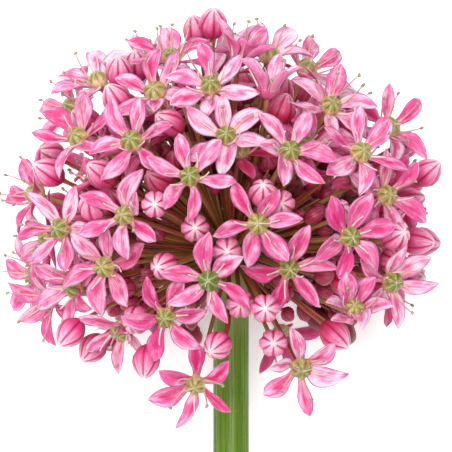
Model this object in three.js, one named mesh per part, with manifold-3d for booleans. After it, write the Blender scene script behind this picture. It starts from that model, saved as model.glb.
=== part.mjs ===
/**
 * Allium flower head, picked and laid down: a round umbel of star-shaped florets and buds on a cut stalk.
 *
 * Everything is built in the umbel's own frame, in millimetres: the origin is the middle of the umbel, +Y
 * runs up the stalk's line towards the crown, +X to the right and +Z out of the side that faces up when it
 * lies. The whole is then turned about X and lifted, so that the crushed underside and the stalk's cut end
 * touch the surface at z = 0.
 */
import * as THREE from 'three';
import { mergeGeometries, mergeVertices } from 'three/addons/utils/BufferGeometryUtils.js';
import Module from 'manifold-3d';

const wasm = await Module();
wasm.setup();

const degrees = THREE.MathUtils.degToRad;

// Driving dimensions, in millimetres and radians.
const CLEARANCE = 0.3;
const UMBEL_HEIGHT = 42;
const UMBEL_RADIUS = 47.5;
const UMBEL_POLAR_LIMIT = degrees(122);
const SIDE_POLAR_LIMIT = degrees(105);
const RECEPTACLE_RADIUS = 6;
const STALK_LENGTH = 150;
const STALK_RADIUS = 4.15;
const CUT_END_RADIUS = 4.3;
const STALK_SIDES = 12;
const PRESS_DEPTH = 0.25;
const BLOCK_SIZE = 400;

// An open floret: six tepals round an ovary. Levels are counted along the way that it faces.
const TEPAL_COUNT = 6;
const TEPAL_LENGTH = 9.2;
const TEPAL_THICKNESS = 0.64;
const TEPAL_CURL = degrees(10);
const OPEN_LIFT = degrees(16);
const CUP_LIFT = degrees(50);
const STEEPEST_LIFT = degrees(56);
const LIFT_WANDER = degrees(12);
const LENGTH_WANDER = 0.12;
const FLORET_BASE = { radius: 2, top: -0.5, bottom: -1.5 };
const OVARY_RADIUS = 2.4;
const OVARY_SHOULDER = 0.7;

// The tepal's outline beyond its root: the share of its length and the half width there, which never takes
// more than a share of the room up to the next tepal.
const TEPAL_OUTLINE = [[0.58, 2.5], [1, 0]];
const NEIGHBOUR_SHARE = 0.96;

// Ways for a tepal to bend clear of its neighbours, the natural one first, and the stub where none is clear.
const LENGTH_SHARES = [1, 0.87, 0.74, 0.6, 0.45];
const LIFT_CHANGES = [0, 9, -9, 18, -18, 27, -27, 38, -36].map(degrees);
const STUB_SHARE = 0.25;

// A bud: six sides, with its outline as shares of its radius and of its length.
const BUD_LENGTH = 8.6;
const BUD_RADIUS = 3.1;
const BUD_SIDES = 6;
const BUD_OUTLINE = [[0, -0.5], [0.62, -0.36], [1, -0.05], [0.74, 0.27], [0, 0.5]];

// A pedicel: three sides, one bend below the floret, and its end sunk in the ovary or in the bud.
const PEDICEL_RADIUS = 0.68;
const PEDICEL_SIDES = 3;
const PEDICEL_BEND = 7;
const PEDICEL_SINK = { open: 1.2, cup: 1.2, bud: 3.1 };

// Sprays: how many there are, how many florets one holds, and how their roots stand on the receptacle.
const SPRAY_LIMIT = 59;
const SPRAY_FLORETS = 3;
const ROOT_SPACING = degrees(21);
const ROOT_POLAR_LIMIT = degrees(120);
const ROOT_PASSES = 80;

// The layers that florets stand in, counted from the umbel's radius, and how they are given out.
const LAYERS = [0, 1, -1, -2];
const LAYER_STEP = 2.4;
const ROOMY = 14;
const RIM_SPREAD = 2;
const FLATTEST_FACING = 0.97;
const SHALLOWEST_MARK = 0.3;

// The other florets, on a golden spiral. Parts of a direction are shares of one: the side that is seen begins
// at a depth, its middle stays as it is beyond another, and the umbel's sides hang less low than its back.
const SPIRAL_COUNT = 231;
const SPIRAL_WANDER = 0.25;
const FACING_WANDER = 0.7;
const SEEN_DEPTH = 0.12;
const MIDDLE_DEPTH = 0.8;
const SIDE_SHARE = 0.44;

// How much shorter their pedicels are, how far they stand from the florets already placed, and how many open.
const GAP_FLORET = { depth: 6.5, spacing: 7.4, openShare: 0.65 };
const HIDDEN_FLORET = { depth: 4.5, spacing: 9.6, openShare: 0.42 };
const PEDICEL_ROOM = 3.8;

// The lie: the slope of the stalk that lets its cut end touch the surface.
const REACH_TO_CUT = Math.hypot(STALK_LENGTH, CUT_END_RADIUS);
const LIE_SLOPE = Math.asin(UMBEL_HEIGHT / REACH_TO_CUT) - Math.atan2(CUT_END_RADIUS, STALK_LENGTH);
const UP = new THREE.Vector3(0, Math.sin(LIE_SLOPE), Math.cos(LIE_SLOPE));
const VIEWER = new THREE.Vector3(0, 0, 1);

// The photograph's scale, and the point where the pedicels meet in it.
const MM_PER_PIXEL = 0.235;
const UMBEL_PIXEL = { x: 231, y: 250 };

// Open florets seen in the photograph: the ovary's pixel, the pixel of one tepal's tip and, where the floret
// is seen from the side, the way that it faces across the picture (right and up, as shares of one).
const OPEN_PIXELS = [
  [98, 81, 78, 92, -0.35, 0.8], [71, 107, 67, 76, -0.75, 0.4], [79, 138, 65, 170], [134, 143, 149, 101],
  [156, 94, 115, 86], [171, 58, 190, 64, 0.05, 0.85], [211, 89, 241, 100], [268, 55, 248, 27, 0.15, 0.8],
  [307, 68, 322, 78, 0.4, 0.75], [329, 108, 302, 84], [389, 128, 384, 96], [226, 138, 232, 179],
  [288, 153, 309, 114], [358, 154, 388, 128], [384, 196, 417, 171], [191, 178, 221, 146],
  [127, 216, 131, 176], [35, 194, 40, 220, -0.85, 0.3], [63, 229, 45, 186], [257, 224, 242, 260],
  [347, 237, 355, 197], [107, 266, 121, 222], [75, 285, 73, 320, -0.6, -0.1], [287, 268, 256, 233],
  [209, 279, 180, 270], [389, 281, 380, 239], [49, 300, 20, 335, -0.65, -0.3],
  [35, 275, 29, 247, -0.85, 0.05], [167, 315, 150, 359], [123, 329, 87, 338, -0.35, -0.6],
  [299, 365, 332, 341], [196, 381, 157, 397], [152, 60, 130, 44, -0.15, 0.85],
];

// Half-open florets: the pixel of the cup's middle and of its mouth.
const CUP_PIXELS = [[221, 60, 224, 43], [240, 59, 245, 43], [267, 92, 268, 64], [351, 307, 352, 300]];

// Buds: the pixel of the bud's middle and of its tip, the same pixel where it points at the camera.
const BUD_PIXELS = [
  [196, 31, 192, 15], [213, 24, 214, 10], [120, 73, 119, 58], [118, 101, 109, 87], [137, 66, 135, 51],
  [50, 155, 38, 150], [50, 173, 36, 165], [104, 175, 90, 165], [157, 205, 157, 205], [196, 228, 196, 228],
  [227, 251, 227, 251], [280, 204, 280, 204], [166, 265, 159, 266], [406, 144, 418, 140],
  [426, 173, 438, 163], [415, 241, 435, 243], [392, 236, 400, 232], [333, 333, 346, 345],
  [264, 306, 264, 306], [272, 340, 272, 340], [240, 302, 240, 302], [218, 342, 211, 348],
  [73, 331, 62, 343], [138, 318, 132, 322], [391, 260, 398, 262], [96, 207, 92, 198],
  [336, 213, 338, 207], [262, 194, 262, 186], [94, 347, 84, 359], [148, 358, 146, 374],
];

/** A repeatable number from 0 to 1 for one floret and one use of it. */
function chance(index, use) {
  const wave = Math.sin(index * 127.1 + use * 311.7) * 43758.5453;
  return wave - Math.floor(wave);
}

/** How high a point of the umbel lies above the surface. */
function heightOf(point) {
  return UMBEL_HEIGHT + point.dot(UP);
}

/** A solid for joining and cutting, from a closed geometry. */
function solidOf(geometry) {
  const bare = geometry.clone();
  bare.deleteAttribute('normal');
  bare.deleteAttribute('uv');
  const merged = mergeVertices(bare, 1e-4);
  const corners = [];
  for (let i = 0; i < merged.index.count; i += 3) {
    const triangle = [0, 1, 2].map((k) => merged.index.getX(i + k));
    if (new Set(triangle).size === 3) corners.push(...triangle);
  }
  const vertProperties = new Float32Array(merged.attributes.position.array);
  const triVerts = new Uint32Array(corners);
  return new wasm.Manifold(new wasm.Mesh({ numProp: 3, vertProperties, triVerts }));
}

/** The largest body of a solid: a sealed hollow is filled and a loose scrap left out. */
function mainBody(solid) {
  return solid.decompose().reduce((best, body) => (body.volume() > best.volume() ? body : best));
}

/** A geometry for a mesh, from a solid. */
function geometryOf(solid) {
  const mesh = solid.getMesh();
  const geometry = new THREE.BufferGeometry();
  geometry.setAttribute('position', new THREE.BufferAttribute(mesh.vertProperties, 3));
  geometry.setIndex(new THREE.BufferAttribute(mesh.triVerts, 1));
  return geometry;
}

/**
 * A surface through rings of equally many points, listed anticlockwise as seen from the last ring, closed by
 * a cap at each end unless the caps are left out.
 */
function loft(rings, { firstCap = true, lastCap = true } = {}) {
  const sides = rings[0].length;
  const index = [];
  for (let ring = 0; ring + 1 < rings.length; ring++) {
    for (let side = 0; side < sides; side++) {
      const next = (side + 1) % sides;
      const [a, b] = [ring * sides + side, ring * sides + next];
      const [c, d] = [b + sides, a + sides];
      index.push(...(side < sides / 2 ? [a, b, c, a, c, d] : [a, b, d, b, c, d]));
    }
  }
  const lastRing = (rings.length - 1) * sides;
  for (let side = 1; side + 1 < sides; side++) {
    if (firstCap) index.push(0, side + 1, side);
    if (lastCap) index.push(lastRing, lastRing + side, lastRing + side + 1);
  }
  const geometry = new THREE.BufferGeometry().setFromPoints(rings.flat());
  geometry.setIndex(index);
  return geometry;
}

/** Turns a geometry's +Y onto an axis and puts its origin at a point. */
function placed(geometry, axis, at) {
  const turn = new THREE.Quaternion().setFromUnitVectors(new THREE.Vector3(0, 1, 0), axis);
  return geometry.applyQuaternion(turn).translate(at.x, at.y, at.z);
}

/** The umbel's point that a pixel shows: on a sphere or, at the outline, near the middle plane. */
function umbelPoint(pixelX, pixelY, radius) {
  const x = (pixelX - UMBEL_PIXEL.x) * MM_PER_PIXEL;
  const y = (UMBEL_PIXEL.y - pixelY) * MM_PER_PIXEL;
  const inside = radius ** 2 - x ** 2 - y ** 2;
  return new THREE.Vector3(x, y, inside > 0 ? Math.sqrt(inside) : (radius - UMBEL_RADIUS) * RIM_SPREAD);
}

/** A direction of length one that comes towards the viewer, from its parts to the right and up. */
function towardsViewer(right, up) {
  const across = new THREE.Vector3(right, up, 0).clampLength(0, FLATTEST_FACING);
  return across.setZ(Math.sqrt(1 - across.lengthSq()));
}

/** The florets that the photograph shows: which way they face and, for open ones, where one tepal points. */
function photographedFlorets() {
  const open = OPEN_PIXELS.map(([x, y, tipX, tipY, faceX, faceY]) => {
    const turned = umbelPoint(x, y, UMBEL_RADIUS).normalize().add(VIEWER).normalize();
    const facing = faceX === undefined ? turned : towardsViewer(faceX, faceY);
    return { kind: 'open', pixel: [x, y], facing, depth: 0, mark: [tipX - x, y - tipY] };
  });
  const upright = (kind) => ([x, y, tipX, tipY]) => {
    const scale = MM_PER_PIXEL / (BUD_LENGTH / 2);
    const facing = towardsViewer((tipX - x) * scale, (y - tipY) * scale);
    return { kind, pixel: [x, y], facing, depth: 0, mark: [1, 0] };
  };
  return [...open, ...CUP_PIXELS.map(upright('cup')), ...BUD_PIXELS.map(upright('bud'))];
}

/** Whether the umbel has florets of the spiral in a direction. */
function isOffered({ x, y, z }) {
  const atSide = z > SEEN_DEPTH || Math.abs(x) > SIDE_SHARE;
  return z <= MIDDLE_DEPTH && (!atSide || y >= Math.cos(SIDE_POLAR_LIMIT));
}

/**
 * Candidates for the other florets, on a golden spiral of places: those of the sides and the underside, which
 * the photograph hides, and shorter ones that stand deeper in the gaps of the side that it shows.
 */
function spiralFlorets() {
  const goldenTurn = Math.PI * (3 - Math.sqrt(5));
  const candidates = [...Array(SPIRAL_COUNT).keys()].map((i) => {
    const up = 1 - (i + 0.5) / SPIRAL_COUNT * (1 - Math.cos(UMBEL_POLAR_LIMIT));
    const turn = i * goldenTurn + (chance(i, 1) - 0.5) * SPIRAL_WANDER;
    const out = Math.sqrt(1 - up ** 2);
    const direction = new THREE.Vector3(out * Math.cos(turn), up, out * Math.sin(turn));
    const wander = new THREE.Vector3(chance(i, 2), chance(i, 3), chance(i, 4)).subScalar(0.5);
    const facing = direction.clone().addScaledVector(wander, FACING_WANDER).normalize();
    const rule = direction.z > SEEN_DEPTH ? GAP_FLORET : HIDDEN_FLORET;
    const kind = chance(i, 5) < rule.openShare ? 'open' : 'bud';
    return { kind, direction, facing, ...rule, mark: [Math.cos(i), Math.sin(i)] };
  });
  return candidates.filter((floret) => isOffered(floret.direction));
}

/** How far a point is from the straight line between the umbel's middle and another point. */
function offPedicel(point, end) {
  const line = new THREE.Line3(new THREE.Vector3(), end);
  return line.closestPointToPoint(point, true, new THREE.Vector3()).distanceTo(point);
}

/** Whether a spiral floret would stand clear of those already placed and of their pedicels. */
function hasRoom(floret, placed) {
  const rough = floret.direction.clone().setLength(UMBEL_RADIUS - floret.depth);
  return placed.every(({ at }) => at.distanceTo(rough) > floret.spacing
    && Math.min(offPedicel(rough, at), offPedicel(at, rough)) > PEDICEL_ROOM);
}

/** How far a floret's body reaches below its middle when the surface is below it. */
function reachDown(floret) {
  if (floret.kind !== 'bud') return OVARY_RADIUS;
  const steepness = Math.abs(floret.facing.dot(UP));
  return Math.hypot(BUD_LENGTH / 2 * steepness, BUD_RADIUS * Math.sqrt(1 - steepness ** 2));
}

/** Gives a floret its place: in the layer where it has most room, and no lower than the surface. */
function settle(floret, placed) {
  const places = LAYERS.map((layer) => {
    const radius = UMBEL_RADIUS + layer * LAYER_STEP - floret.depth;
    return floret.pixel ? umbelPoint(...floret.pixel, radius) : floret.direction.clone().setLength(radius);
  });
  const rooms = places.map((at) => Math.min(ROOMY, ...placed.map((other) => other.at.distanceTo(at))));
  floret.at = places[rooms.indexOf(Math.max(...rooms))];
  const reach = reachDown(floret);
  const fall = -floret.at.dot(UP);
  if (fall + reach > UMBEL_HEIGHT) floret.at.multiplyScalar((UMBEL_HEIGHT + PRESS_DEPTH - reach) / fall);
  placed.push(floret);
}

/** A floret's own directions: where it faces, and two square to that, the first one towards its mark. */
function axesOf(floret) {
  const { facing, mark } = floret;
  const depth = Math.max(Math.abs(facing.z), SHALLOWEST_MARK) * Math.sign(facing.z || 1);
  const towards = new THREE.Vector3(mark[0], mark[1], 0);
  towards.z = -(facing.x * towards.x + facing.y * towards.y) / depth;
  const first = towards.addScaledVector(facing, -towards.dot(facing)).normalize();
  return { facing, first, second: new THREE.Vector3().crossVectors(facing, first) };
}

/** A point of a floret, from its turn about the way it faces, its distance from that line and its level. */
function floretPoint(floret, turn, out, level) {
  const { facing, first, second } = floret.axes;
  return floret.at.clone().addScaledVector(facing, level)
    .addScaledVector(first, out * Math.cos(turn)).addScaledVector(second, out * Math.sin(turn));
}

/** The rings of one tepal, from its root on the floret's base, bent at its widest part, to its tip. */
function tepalRings(floret, turn, lift, length, margin) {
  const { facing, first, second } = floret.axes;
  const outward = first.clone().multiplyScalar(Math.cos(turn)).addScaledVector(second, Math.sin(turn));
  const across = new THREE.Vector3().crossVectors(facing, outward);
  const along = (angle) => outward.clone().multiplyScalar(Math.cos(angle))
    .addScaledVector(facing, Math.sin(angle));
  const corners = [[1, 1], [-1, 1], [-1, -1], [1, -1]];
  const halfTurn = Math.PI / TEPAL_COUNT;
  const { radius, top, bottom } = FLORET_BASE;
  const rings = [corners.map(([u, v]) => (
    floretPoint(floret, turn + u * halfTurn, radius, v > 0 ? top + margin : bottom - margin)))];
  const point = floretPoint(floret, turn, radius * Math.cos(halfTurn), (top + bottom) / 2);
  TEPAL_OUTLINE.forEach(([share, halfWidth], i) => {
    const step = share - (i ? TEPAL_OUTLINE[i - 1][0] : 0);
    const angle = lift + TEPAL_CURL * (0.5 - i);
    point.addScaledVector(along(angle), step * length + margin * i);
    const above = along(angle + Math.PI / 2).multiplyScalar(TEPAL_THICKNESS / 2 + margin);
    const inner = point.clone().sub(floret.at).dot(outward) - TEPAL_THICKNESS / 2 * Math.sin(Math.abs(angle));
    const widest = Math.min(halfWidth, inner * Math.tan(halfTurn) * NEIGHBOUR_SHARE);
    const side = across.clone().multiplyScalar(widest + margin);
    rings.push(corners.map(([u, v]) => point.clone().addScaledVector(above, v).addScaledVector(side, u)));
  });
  return rings;
}

/** An open floret: its ovary with six tepals growing from the band round its base. */
function openFloretSolid(floret) {
  const corner = Math.PI / TEPAL_COUNT;
  const ring = (out, level) => [...Array(TEPAL_COUNT).keys()].map((k) => (
    floretPoint(floret, (2 * k - 1) * corner, out, level)));
  const { radius, top, bottom } = FLORET_BASE;
  const below = loft([ring(0, -OVARY_RADIUS), ring(radius, bottom)], { firstCap: false, lastCap: false });
  const above = loft(
    [ring(radius, top), ring(OVARY_RADIUS, OVARY_SHOULDER), ring(0, OVARY_RADIUS)],
    { firstCap: false, lastCap: false },
  );
  const tepals = floret.tepals.map((rings) => loft(rings, { firstCap: false }));
  return solidOf(mergeGeometries([below, above, ...tepals]));
}

/** A closed bud: an egg with a pointed tip. */
function budSolid(floret) {
  const points = BUD_OUTLINE.map(([out, level]) => new THREE.Vector2(out * BUD_RADIUS, level * BUD_LENGTH));
  return solidOf(placed(new THREE.LatheGeometry(points, BUD_SIDES), floret.facing, floret.at));
}

/** A floret's own stalk, from the spray's root on the receptacle to the floret's base. */
function pedicelSolid(floret, root) {
  const base = floret.at.clone().addScaledVector(floret.facing, -PEDICEL_SINK[floret.kind]);
  const backwards = floret.facing.clone().add(floret.at.clone().normalize()).normalize();
  const stations = [root, base.clone().addScaledVector(backwards, -PEDICEL_BEND), base];
  const reference = new THREE.Vector3(root.y, root.z, root.x).cross(root).normalize();
  const rings = stations.map((point, i) => {
    const before = stations[Math.max(i - 1, 0)];
    const after = stations[Math.min(i + 1, stations.length - 1)];
    const tangent = after.clone().sub(before).normalize();
    const sideways = new THREE.Vector3().crossVectors(reference, tangent).setLength(PEDICEL_RADIUS);
    return [...Array(PEDICEL_SIDES).keys()].map((side) => (
      sideways.clone().applyAxisAngle(tangent, side * Math.PI * 2 / PEDICEL_SIDES).add(point)));
  });
  return solidOf(loft(rings));
}

/** Gathers the florets that stand closest together into sprays, each with one root. */
function gatherSprays(florets) {
  const sprays = florets.map((floret) => [floret]);
  const middle = (spray) => (
    spray.reduce((sum, floret) => sum.add(floret.at), new THREE.Vector3()).normalize());
  while (sprays.length > SPRAY_LIMIT) {
    let best = { angle: Infinity };
    for (let i = 0; i < sprays.length; i++) {
      for (let j = i + 1; j < sprays.length; j++) {
        if (sprays[i].length + sprays[j].length > SPRAY_FLORETS) continue;
        const angle = middle(sprays[i]).angleTo(middle(sprays[j]));
        if (angle < best.angle) best = { angle, i, j };
      }
    }
    sprays[best.i].push(...sprays.splice(best.j, 1)[0]);
  }
  return sprays.map((members) => ({ members, direction: middle(members) }));
}

/** Turns a root's direction up from the stalk where it is too close to it. */
function keepOffStalk(direction) {
  const polar = Math.min(Math.acos(direction.y), ROOT_POLAR_LIMIT);
  const turn = Math.atan2(direction.x, direction.z);
  direction.setFromSphericalCoords(1, polar, turn);
}

/** Spreads the sprays' roots over the receptacle, so that no two stand closer than their spacing. */
function spreadRoots(sprays) {
  for (let pass = 0; pass < ROOT_PASSES; pass++) {
    for (const a of sprays) {
      for (const b of sprays) {
        const angle = a.direction.angleTo(b.direction);
        if (a === b || angle >= ROOT_SPACING) continue;
        const apart = a.direction.clone().sub(b.direction).setLength((ROOT_SPACING - angle) / 4);
        a.direction.add(apart).normalize();
        b.direction.sub(apart).normalize();
      }
    }
    sprays.forEach((spray) => keepOffStalk(spray.direction));
  }
}

/** The stalk with its receptacle, turned about the stalk's line. */
function scapeGeometry() {
  const onReceptacle = (polar) => (
    new THREE.Vector2(Math.sin(polar), Math.cos(polar)).multiplyScalar(RECEPTACLE_RADIUS));
  const profile = [
    new THREE.Vector2(0, -STALK_LENGTH),
    new THREE.Vector2(CUT_END_RADIUS, -STALK_LENGTH),
    new THREE.Vector2(STALK_RADIUS, -STALK_LENGTH * 0.6),
    new THREE.Vector2(STALK_RADIUS, -RECEPTACLE_RADIUS * 1.5),
    ...[132, 105, 78, 50, 25].map(degrees).map(onReceptacle),
    new THREE.Vector2(0, RECEPTACLE_RADIUS),
  ];
  return new THREE.LatheGeometry(profile, STALK_SIDES);
}

/** Keeps a placed solid with the box that it fills. */
function remember(solid, floret) {
  const box = new THREE.Box3().setFromBufferAttribute(geometryOf(solid).attributes.position);
  return { solid, floret, box };
}

/** The rings of one of a floret's tepals, bent and shortened, with a margin all round. */
function shapedTepal(floret, tepal, liftChange, share, margin) {
  const natural = floret.kind === 'cup' ? CUP_LIFT : OPEN_LIFT;
  const wander = (chance(floret.index, 10 + tepal) - 0.5) * LIFT_WANDER;
  const lift = Math.min(natural + wander + liftChange, STEEPEST_LIFT);
  const length = TEPAL_LENGTH * share * (1 + (chance(floret.index, 20 + tepal) - 0.5) * LENGTH_WANDER);
  return tepalRings(floret, tepal * Math.PI * 2 / TEPAL_COUNT, lift, length, margin);
}

/** The rings of a tepal bent the first way that is clear of the other florets and of the surface. */
function clearTepal(floret, tepal, obstacles) {
  for (const share of LENGTH_SHARES) {
    for (const liftChange of LIFT_CHANGES) {
      const roomy = shapedTepal(floret, tepal, liftChange, share, CLEARANCE);
      if (roomy.flat().some((point) => heightOf(point) < CLEARANCE)) continue;
      const trial = remember(solidOf(loft(roomy)), floret);
      const hits = (other) => other.floret !== floret && other.box.intersectsBox(trial.box)
        && !trial.solid.intersect(other.solid).isEmpty();
      if (!obstacles.some(hits)) return shapedTepal(floret, tepal, liftChange, share, 0);
    }
  }
  return shapedTepal(floret, tepal, 0, STUB_SHARE, 0);
}

/** Every floret of the umbel, each in its place. */
function placeFlorets() {
  const florets = [];
  photographedFlorets().forEach((floret) => settle(floret, florets));
  spiralFlorets().forEach((floret) => {
    if (hasRoom(floret, florets)) settle(floret, florets);
  });
  florets.forEach((floret, index) => Object.assign(floret, { index, axes: axesOf(floret) }));
  return florets;
}

/** Gives each floret its body and its pedicel, with its tepals bent clear of every other floret. */
function growFlorets(sprays) {
  const tepals = [...Array(TEPAL_COUNT).keys()];
  const obstacles = [];
  for (const spray of sprays) {
    const root = spray.direction.clone().setLength(RECEPTACLE_RADIUS + CLEARANCE);
    for (const floret of spray.members) {
      floret.tepals = tepals.map((tepal) => shapedTepal(floret, tepal, 0, STUB_SHARE, 0));
      floret.body = floret.kind === 'bud' ? budSolid(floret) : openFloretSolid(floret);
      floret.pedicel = pedicelSolid(floret, root);
      obstacles.push(remember(floret.body, floret), remember(floret.pedicel, floret));
    }
  }
  const inOrder = sprays.flatMap((spray) => spray.members).sort((a, b) => a.index - b.index);
  for (const floret of inOrder.filter((each) => each.kind !== 'bud')) {
    for (const tepal of tepals) {
      floret.tepals[tepal] = clearTepal(floret, tepal, obstacles);
      obstacles.push(remember(solidOf(loft(floret.tepals[tepal])), floret));
    }
    floret.body = openFloretSolid(floret);
  }
}

/** The space below the surface, in the umbel's frame, which cuts the pressed florets flat. */
function belowSurface() {
  const block = new THREE.BoxGeometry(BLOCK_SIZE, BLOCK_SIZE, BLOCK_SIZE);
  block.translate(0, 0, -BLOCK_SIZE / 2 - UMBEL_HEIGHT).rotateX(-LIE_SLOPE);
  return solidOf(block);
}

/** One spray's florets and pedicels, joined. */
function spraySolid(spray, ground) {
  const pieces = spray.members.flatMap((floret) => [floret.body, floret.pedicel]);
  return mainBody(pieces.reduce((sum, piece) => sum.add(piece)).subtract(ground));
}

/** A named mesh in the umbel's frame. */
function meshOf(name, solid, color, roughness) {
  const material = new THREE.MeshStandardMaterial({ color, roughness, metalness: 0 });
  const mesh = new THREE.Mesh(geometryOf(solid), material);
  mesh.name = name;
  return mesh;
}

/** Lays the umbel down, with the origin in the middle below it. */
function layDown(umbel) {
  umbel.rotation.x = LIE_SLOPE;
  umbel.position.z = UMBEL_HEIGHT;
  umbel.updateMatrixWorld(true);
  const middle = new THREE.Box3().setFromObject(umbel, true).getCenter(new THREE.Vector3());
  umbel.position.x = -middle.x;
  umbel.position.y = -middle.y;
}

const sprays = gatherSprays(placeFlorets());
spreadRoots(sprays);
growFlorets(sprays);

const umbel = new THREE.Group();
umbel.add(meshOf('scape', solidOf(scapeGeometry()), '#7ea04a', 0.55));
const ground = belowSurface();
sprays.forEach((spray, index) => {
  const name = `spray_${String(index + 1).padStart(2, '0')}`;
  umbel.add(meshOf(name, spraySolid(spray, ground), '#d9749f', 0.6));
});
layDown(umbel);

const flowerHead = new THREE.Group();
flowerHead.add(umbel);

export default flowerHead;
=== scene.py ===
"""Allium flower head: the finished look of the umbel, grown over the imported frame.

The solids give every floret its place, and this script gives each one thin petals with veins, a ribbed ovary,
stamens and a style, gives the closed buds their pleats, and draws the stalk with its ribs. Lengths in the
constants are millimetres and angles radians, unless a line says otherwise; everything built is in metres.
"""
import math

import bpy
import numpy as np
from mathutils import Matrix


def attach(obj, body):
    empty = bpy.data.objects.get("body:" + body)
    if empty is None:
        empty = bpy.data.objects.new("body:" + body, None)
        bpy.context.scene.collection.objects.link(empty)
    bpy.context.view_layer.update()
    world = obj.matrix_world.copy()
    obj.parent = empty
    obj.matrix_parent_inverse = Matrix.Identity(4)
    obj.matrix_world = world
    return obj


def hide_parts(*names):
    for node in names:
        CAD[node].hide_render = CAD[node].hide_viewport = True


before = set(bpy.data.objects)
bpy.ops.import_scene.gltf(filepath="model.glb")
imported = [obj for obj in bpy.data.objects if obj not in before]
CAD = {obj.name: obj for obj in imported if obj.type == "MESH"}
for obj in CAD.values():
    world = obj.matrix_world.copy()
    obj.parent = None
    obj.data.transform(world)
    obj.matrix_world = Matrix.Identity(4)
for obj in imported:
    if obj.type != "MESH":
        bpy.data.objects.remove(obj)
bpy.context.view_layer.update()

MM = 0.001
SPRAY_NAMES = sorted(name for name in CAD if name.startswith("spray"))

# The umbel's sizes, as in the solids.
UMBEL_HEIGHT = 42.0
UMBEL_RADIUS = 47.5
UMBEL_POLAR_LIMIT = math.radians(122)
SIDE_POLAR_LIMIT = math.radians(105)
RECEPTACLE_RADIUS = 6.0
STALK_LENGTH = 150.0
STALK_RADIUS = 4.15
CUT_END_RADIUS = 4.3
CLEARANCE = 0.3
PRESS_DEPTH = 0.25

# Open florets and cups, as in the solids.
TEPAL_COUNT = 6
TEPAL_LENGTH = 9.2
TEPAL_CURL = math.radians(10)
OPEN_LIFT = math.radians(16)
CUP_LIFT = math.radians(50)
STEEPEST_LIFT = math.radians(56)
LIFT_WANDER = math.radians(12)
LENGTH_WANDER = 0.12
TEPAL_ROOT_OUT = 2.0 * math.cos(math.pi / TEPAL_COUNT)
TEPAL_ROOT_LEVEL = -1.0
WIDEST_SHARE = 0.58
OVARY_RADIUS = 2.4
LENGTH_SHARES = [1, 0.87, 0.74, 0.6, 0.45]
LIFT_CHANGES = [math.radians(turn) for turn in (0, 9, -9, 18, -18, 27, -27, 38, -36)]
STUB_SHARE = 0.25

# Buds and pedicels, as in the solids.
BUD_LENGTH = 8.6
BUD_RADIUS = 3.1
PEDICEL_BEND = 7.0
PEDICEL_SINK = {"open": 1.2, "cup": 1.2, "bud": 3.1}

# Where the florets stand, as in the solids.
LAYERS = [0, 1, -1, -2]
LAYER_STEP = 2.4
ROOMY = 14.0
RIM_SPREAD = 2.0
FLATTEST_FACING = 0.97
SHALLOWEST_MARK = 0.3
GOLDEN_TURN = math.pi * (3 - math.sqrt(5))
SPIRAL_COUNT = 231
SPIRAL_WANDER = 0.25
FACING_WANDER = 0.7
SEEN_DEPTH = 0.12
MIDDLE_DEPTH = 0.8
SIDE_SHARE = 0.44
GAP_FLORET = {"depth": 6.5, "spacing": 7.4, "open_share": 0.65}
HIDDEN_FLORET = {"depth": 4.5, "spacing": 9.6, "open_share": 0.42}
PEDICEL_ROOM = 3.8

# Fine buds are this many times as plump as the solid ones, and fine ovaries this much wider and higher.
BUD_PLUMPNESS = 1.12
OVARY_WIDER, OVARY_HIGHER = 0.2, 0.1

# Fine pedicels: their radius, how far in the receptacle they start and how much of the way they run straight,
# both as shares, their sway, the least share of the radius and what luck adds to it, and a small bud's share,
# bend and sink.
PEDICEL_RADIUS = 0.56
PEDICEL_START = 0.9
STRAIGHT_SHARE = 0.6
PEDICEL_SWAY = 1.6
LEAST_PEDICEL_SHARE, PEDICEL_WANDER = 0.85, 0.3
SMALL_PEDICEL_SHARE = 0.5
SMALL_PEDICEL_BEND = 3.0
SMALL_PEDICEL_SINK = 1.0

# Small buds that never opened: how many are tried, the nearest that one stands to the umbel's middle and how
# much further out others do, its share of a bud's size with what is added further out, behind and in front,
# the limit in front past which there are none, how far luck moves its place and turns it, and how unripe it
# is in front.
SMALL_COUNT = 400
SMALL_NEAREST = 20.0
SMALL_SPREAD = 16.0
SMALL_SHARE = 0.3
SMALL_GROWTH = 0.35
SMALL_BEHIND = 0.34
SMALL_AHEAD = 0.12
SMALL_FACING = 0.78
SMALL_WANDER = 0.3
SMALL_TURN = 0.8
SMALL_YOUTH = 0.55
FIRST_SMALL_INDEX = 1000

# How far above the surface the fine pieces stay, and half of the thickness that a petal and a thread keep
# where the surface presses them.
FLOOR_GAP = 0.1
PRESSED_PETAL = 0.15
PRESSED_THREAD = 0.1

# Reading the solids: how near a corner is to be the point looked for, how much nearer a bend's tip has to be
# than the one before it, and how far out of the receptacle a spray's root reaches.
SAME_POINT = 0.05
CLEARLY_NEARER = 0.02
ROOT_REACH = 1.3

# Petals: their half width, how much longer and steeper they are than the solid blades, how far luck curls
# (in degrees), sways, twists, waves, cups and narrows them, where it makes them widest, how much more of its
# width than of its length a short one keeps, and how much of a petal's tone is its floret's and its own.
PETAL_HALF_WIDTH = 2.5
PETAL_STRETCH = 1.04
PETAL_RAISE = math.radians(0.8)
LEAST_CURL, CURL_WANDER = 12, 62
PETAL_SWAY = 0.75
PETAL_TWIST = 1.3
PETAL_WAVE = 0.6
LEAST_CUP, CUP_WANDER = 0.1, 0.45
LEAST_WIDTH, WIDTH_WANDER = 0.7, 0.36
LEAST_WIDEST, WIDEST_WANDER = 0.8, 0.75
WIDTH_KEPT = 0.25
FLORET_TONE, PETAL_TONE = 0.55, 0.45

# From this level up the petals are painted paler, as painted light from above, over this rise and by this
# much.
CROWN_LEVEL, CROWN_RISE = 24.0, 16.0
TOP_LIGHT_PALENESS = 0.35

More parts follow.
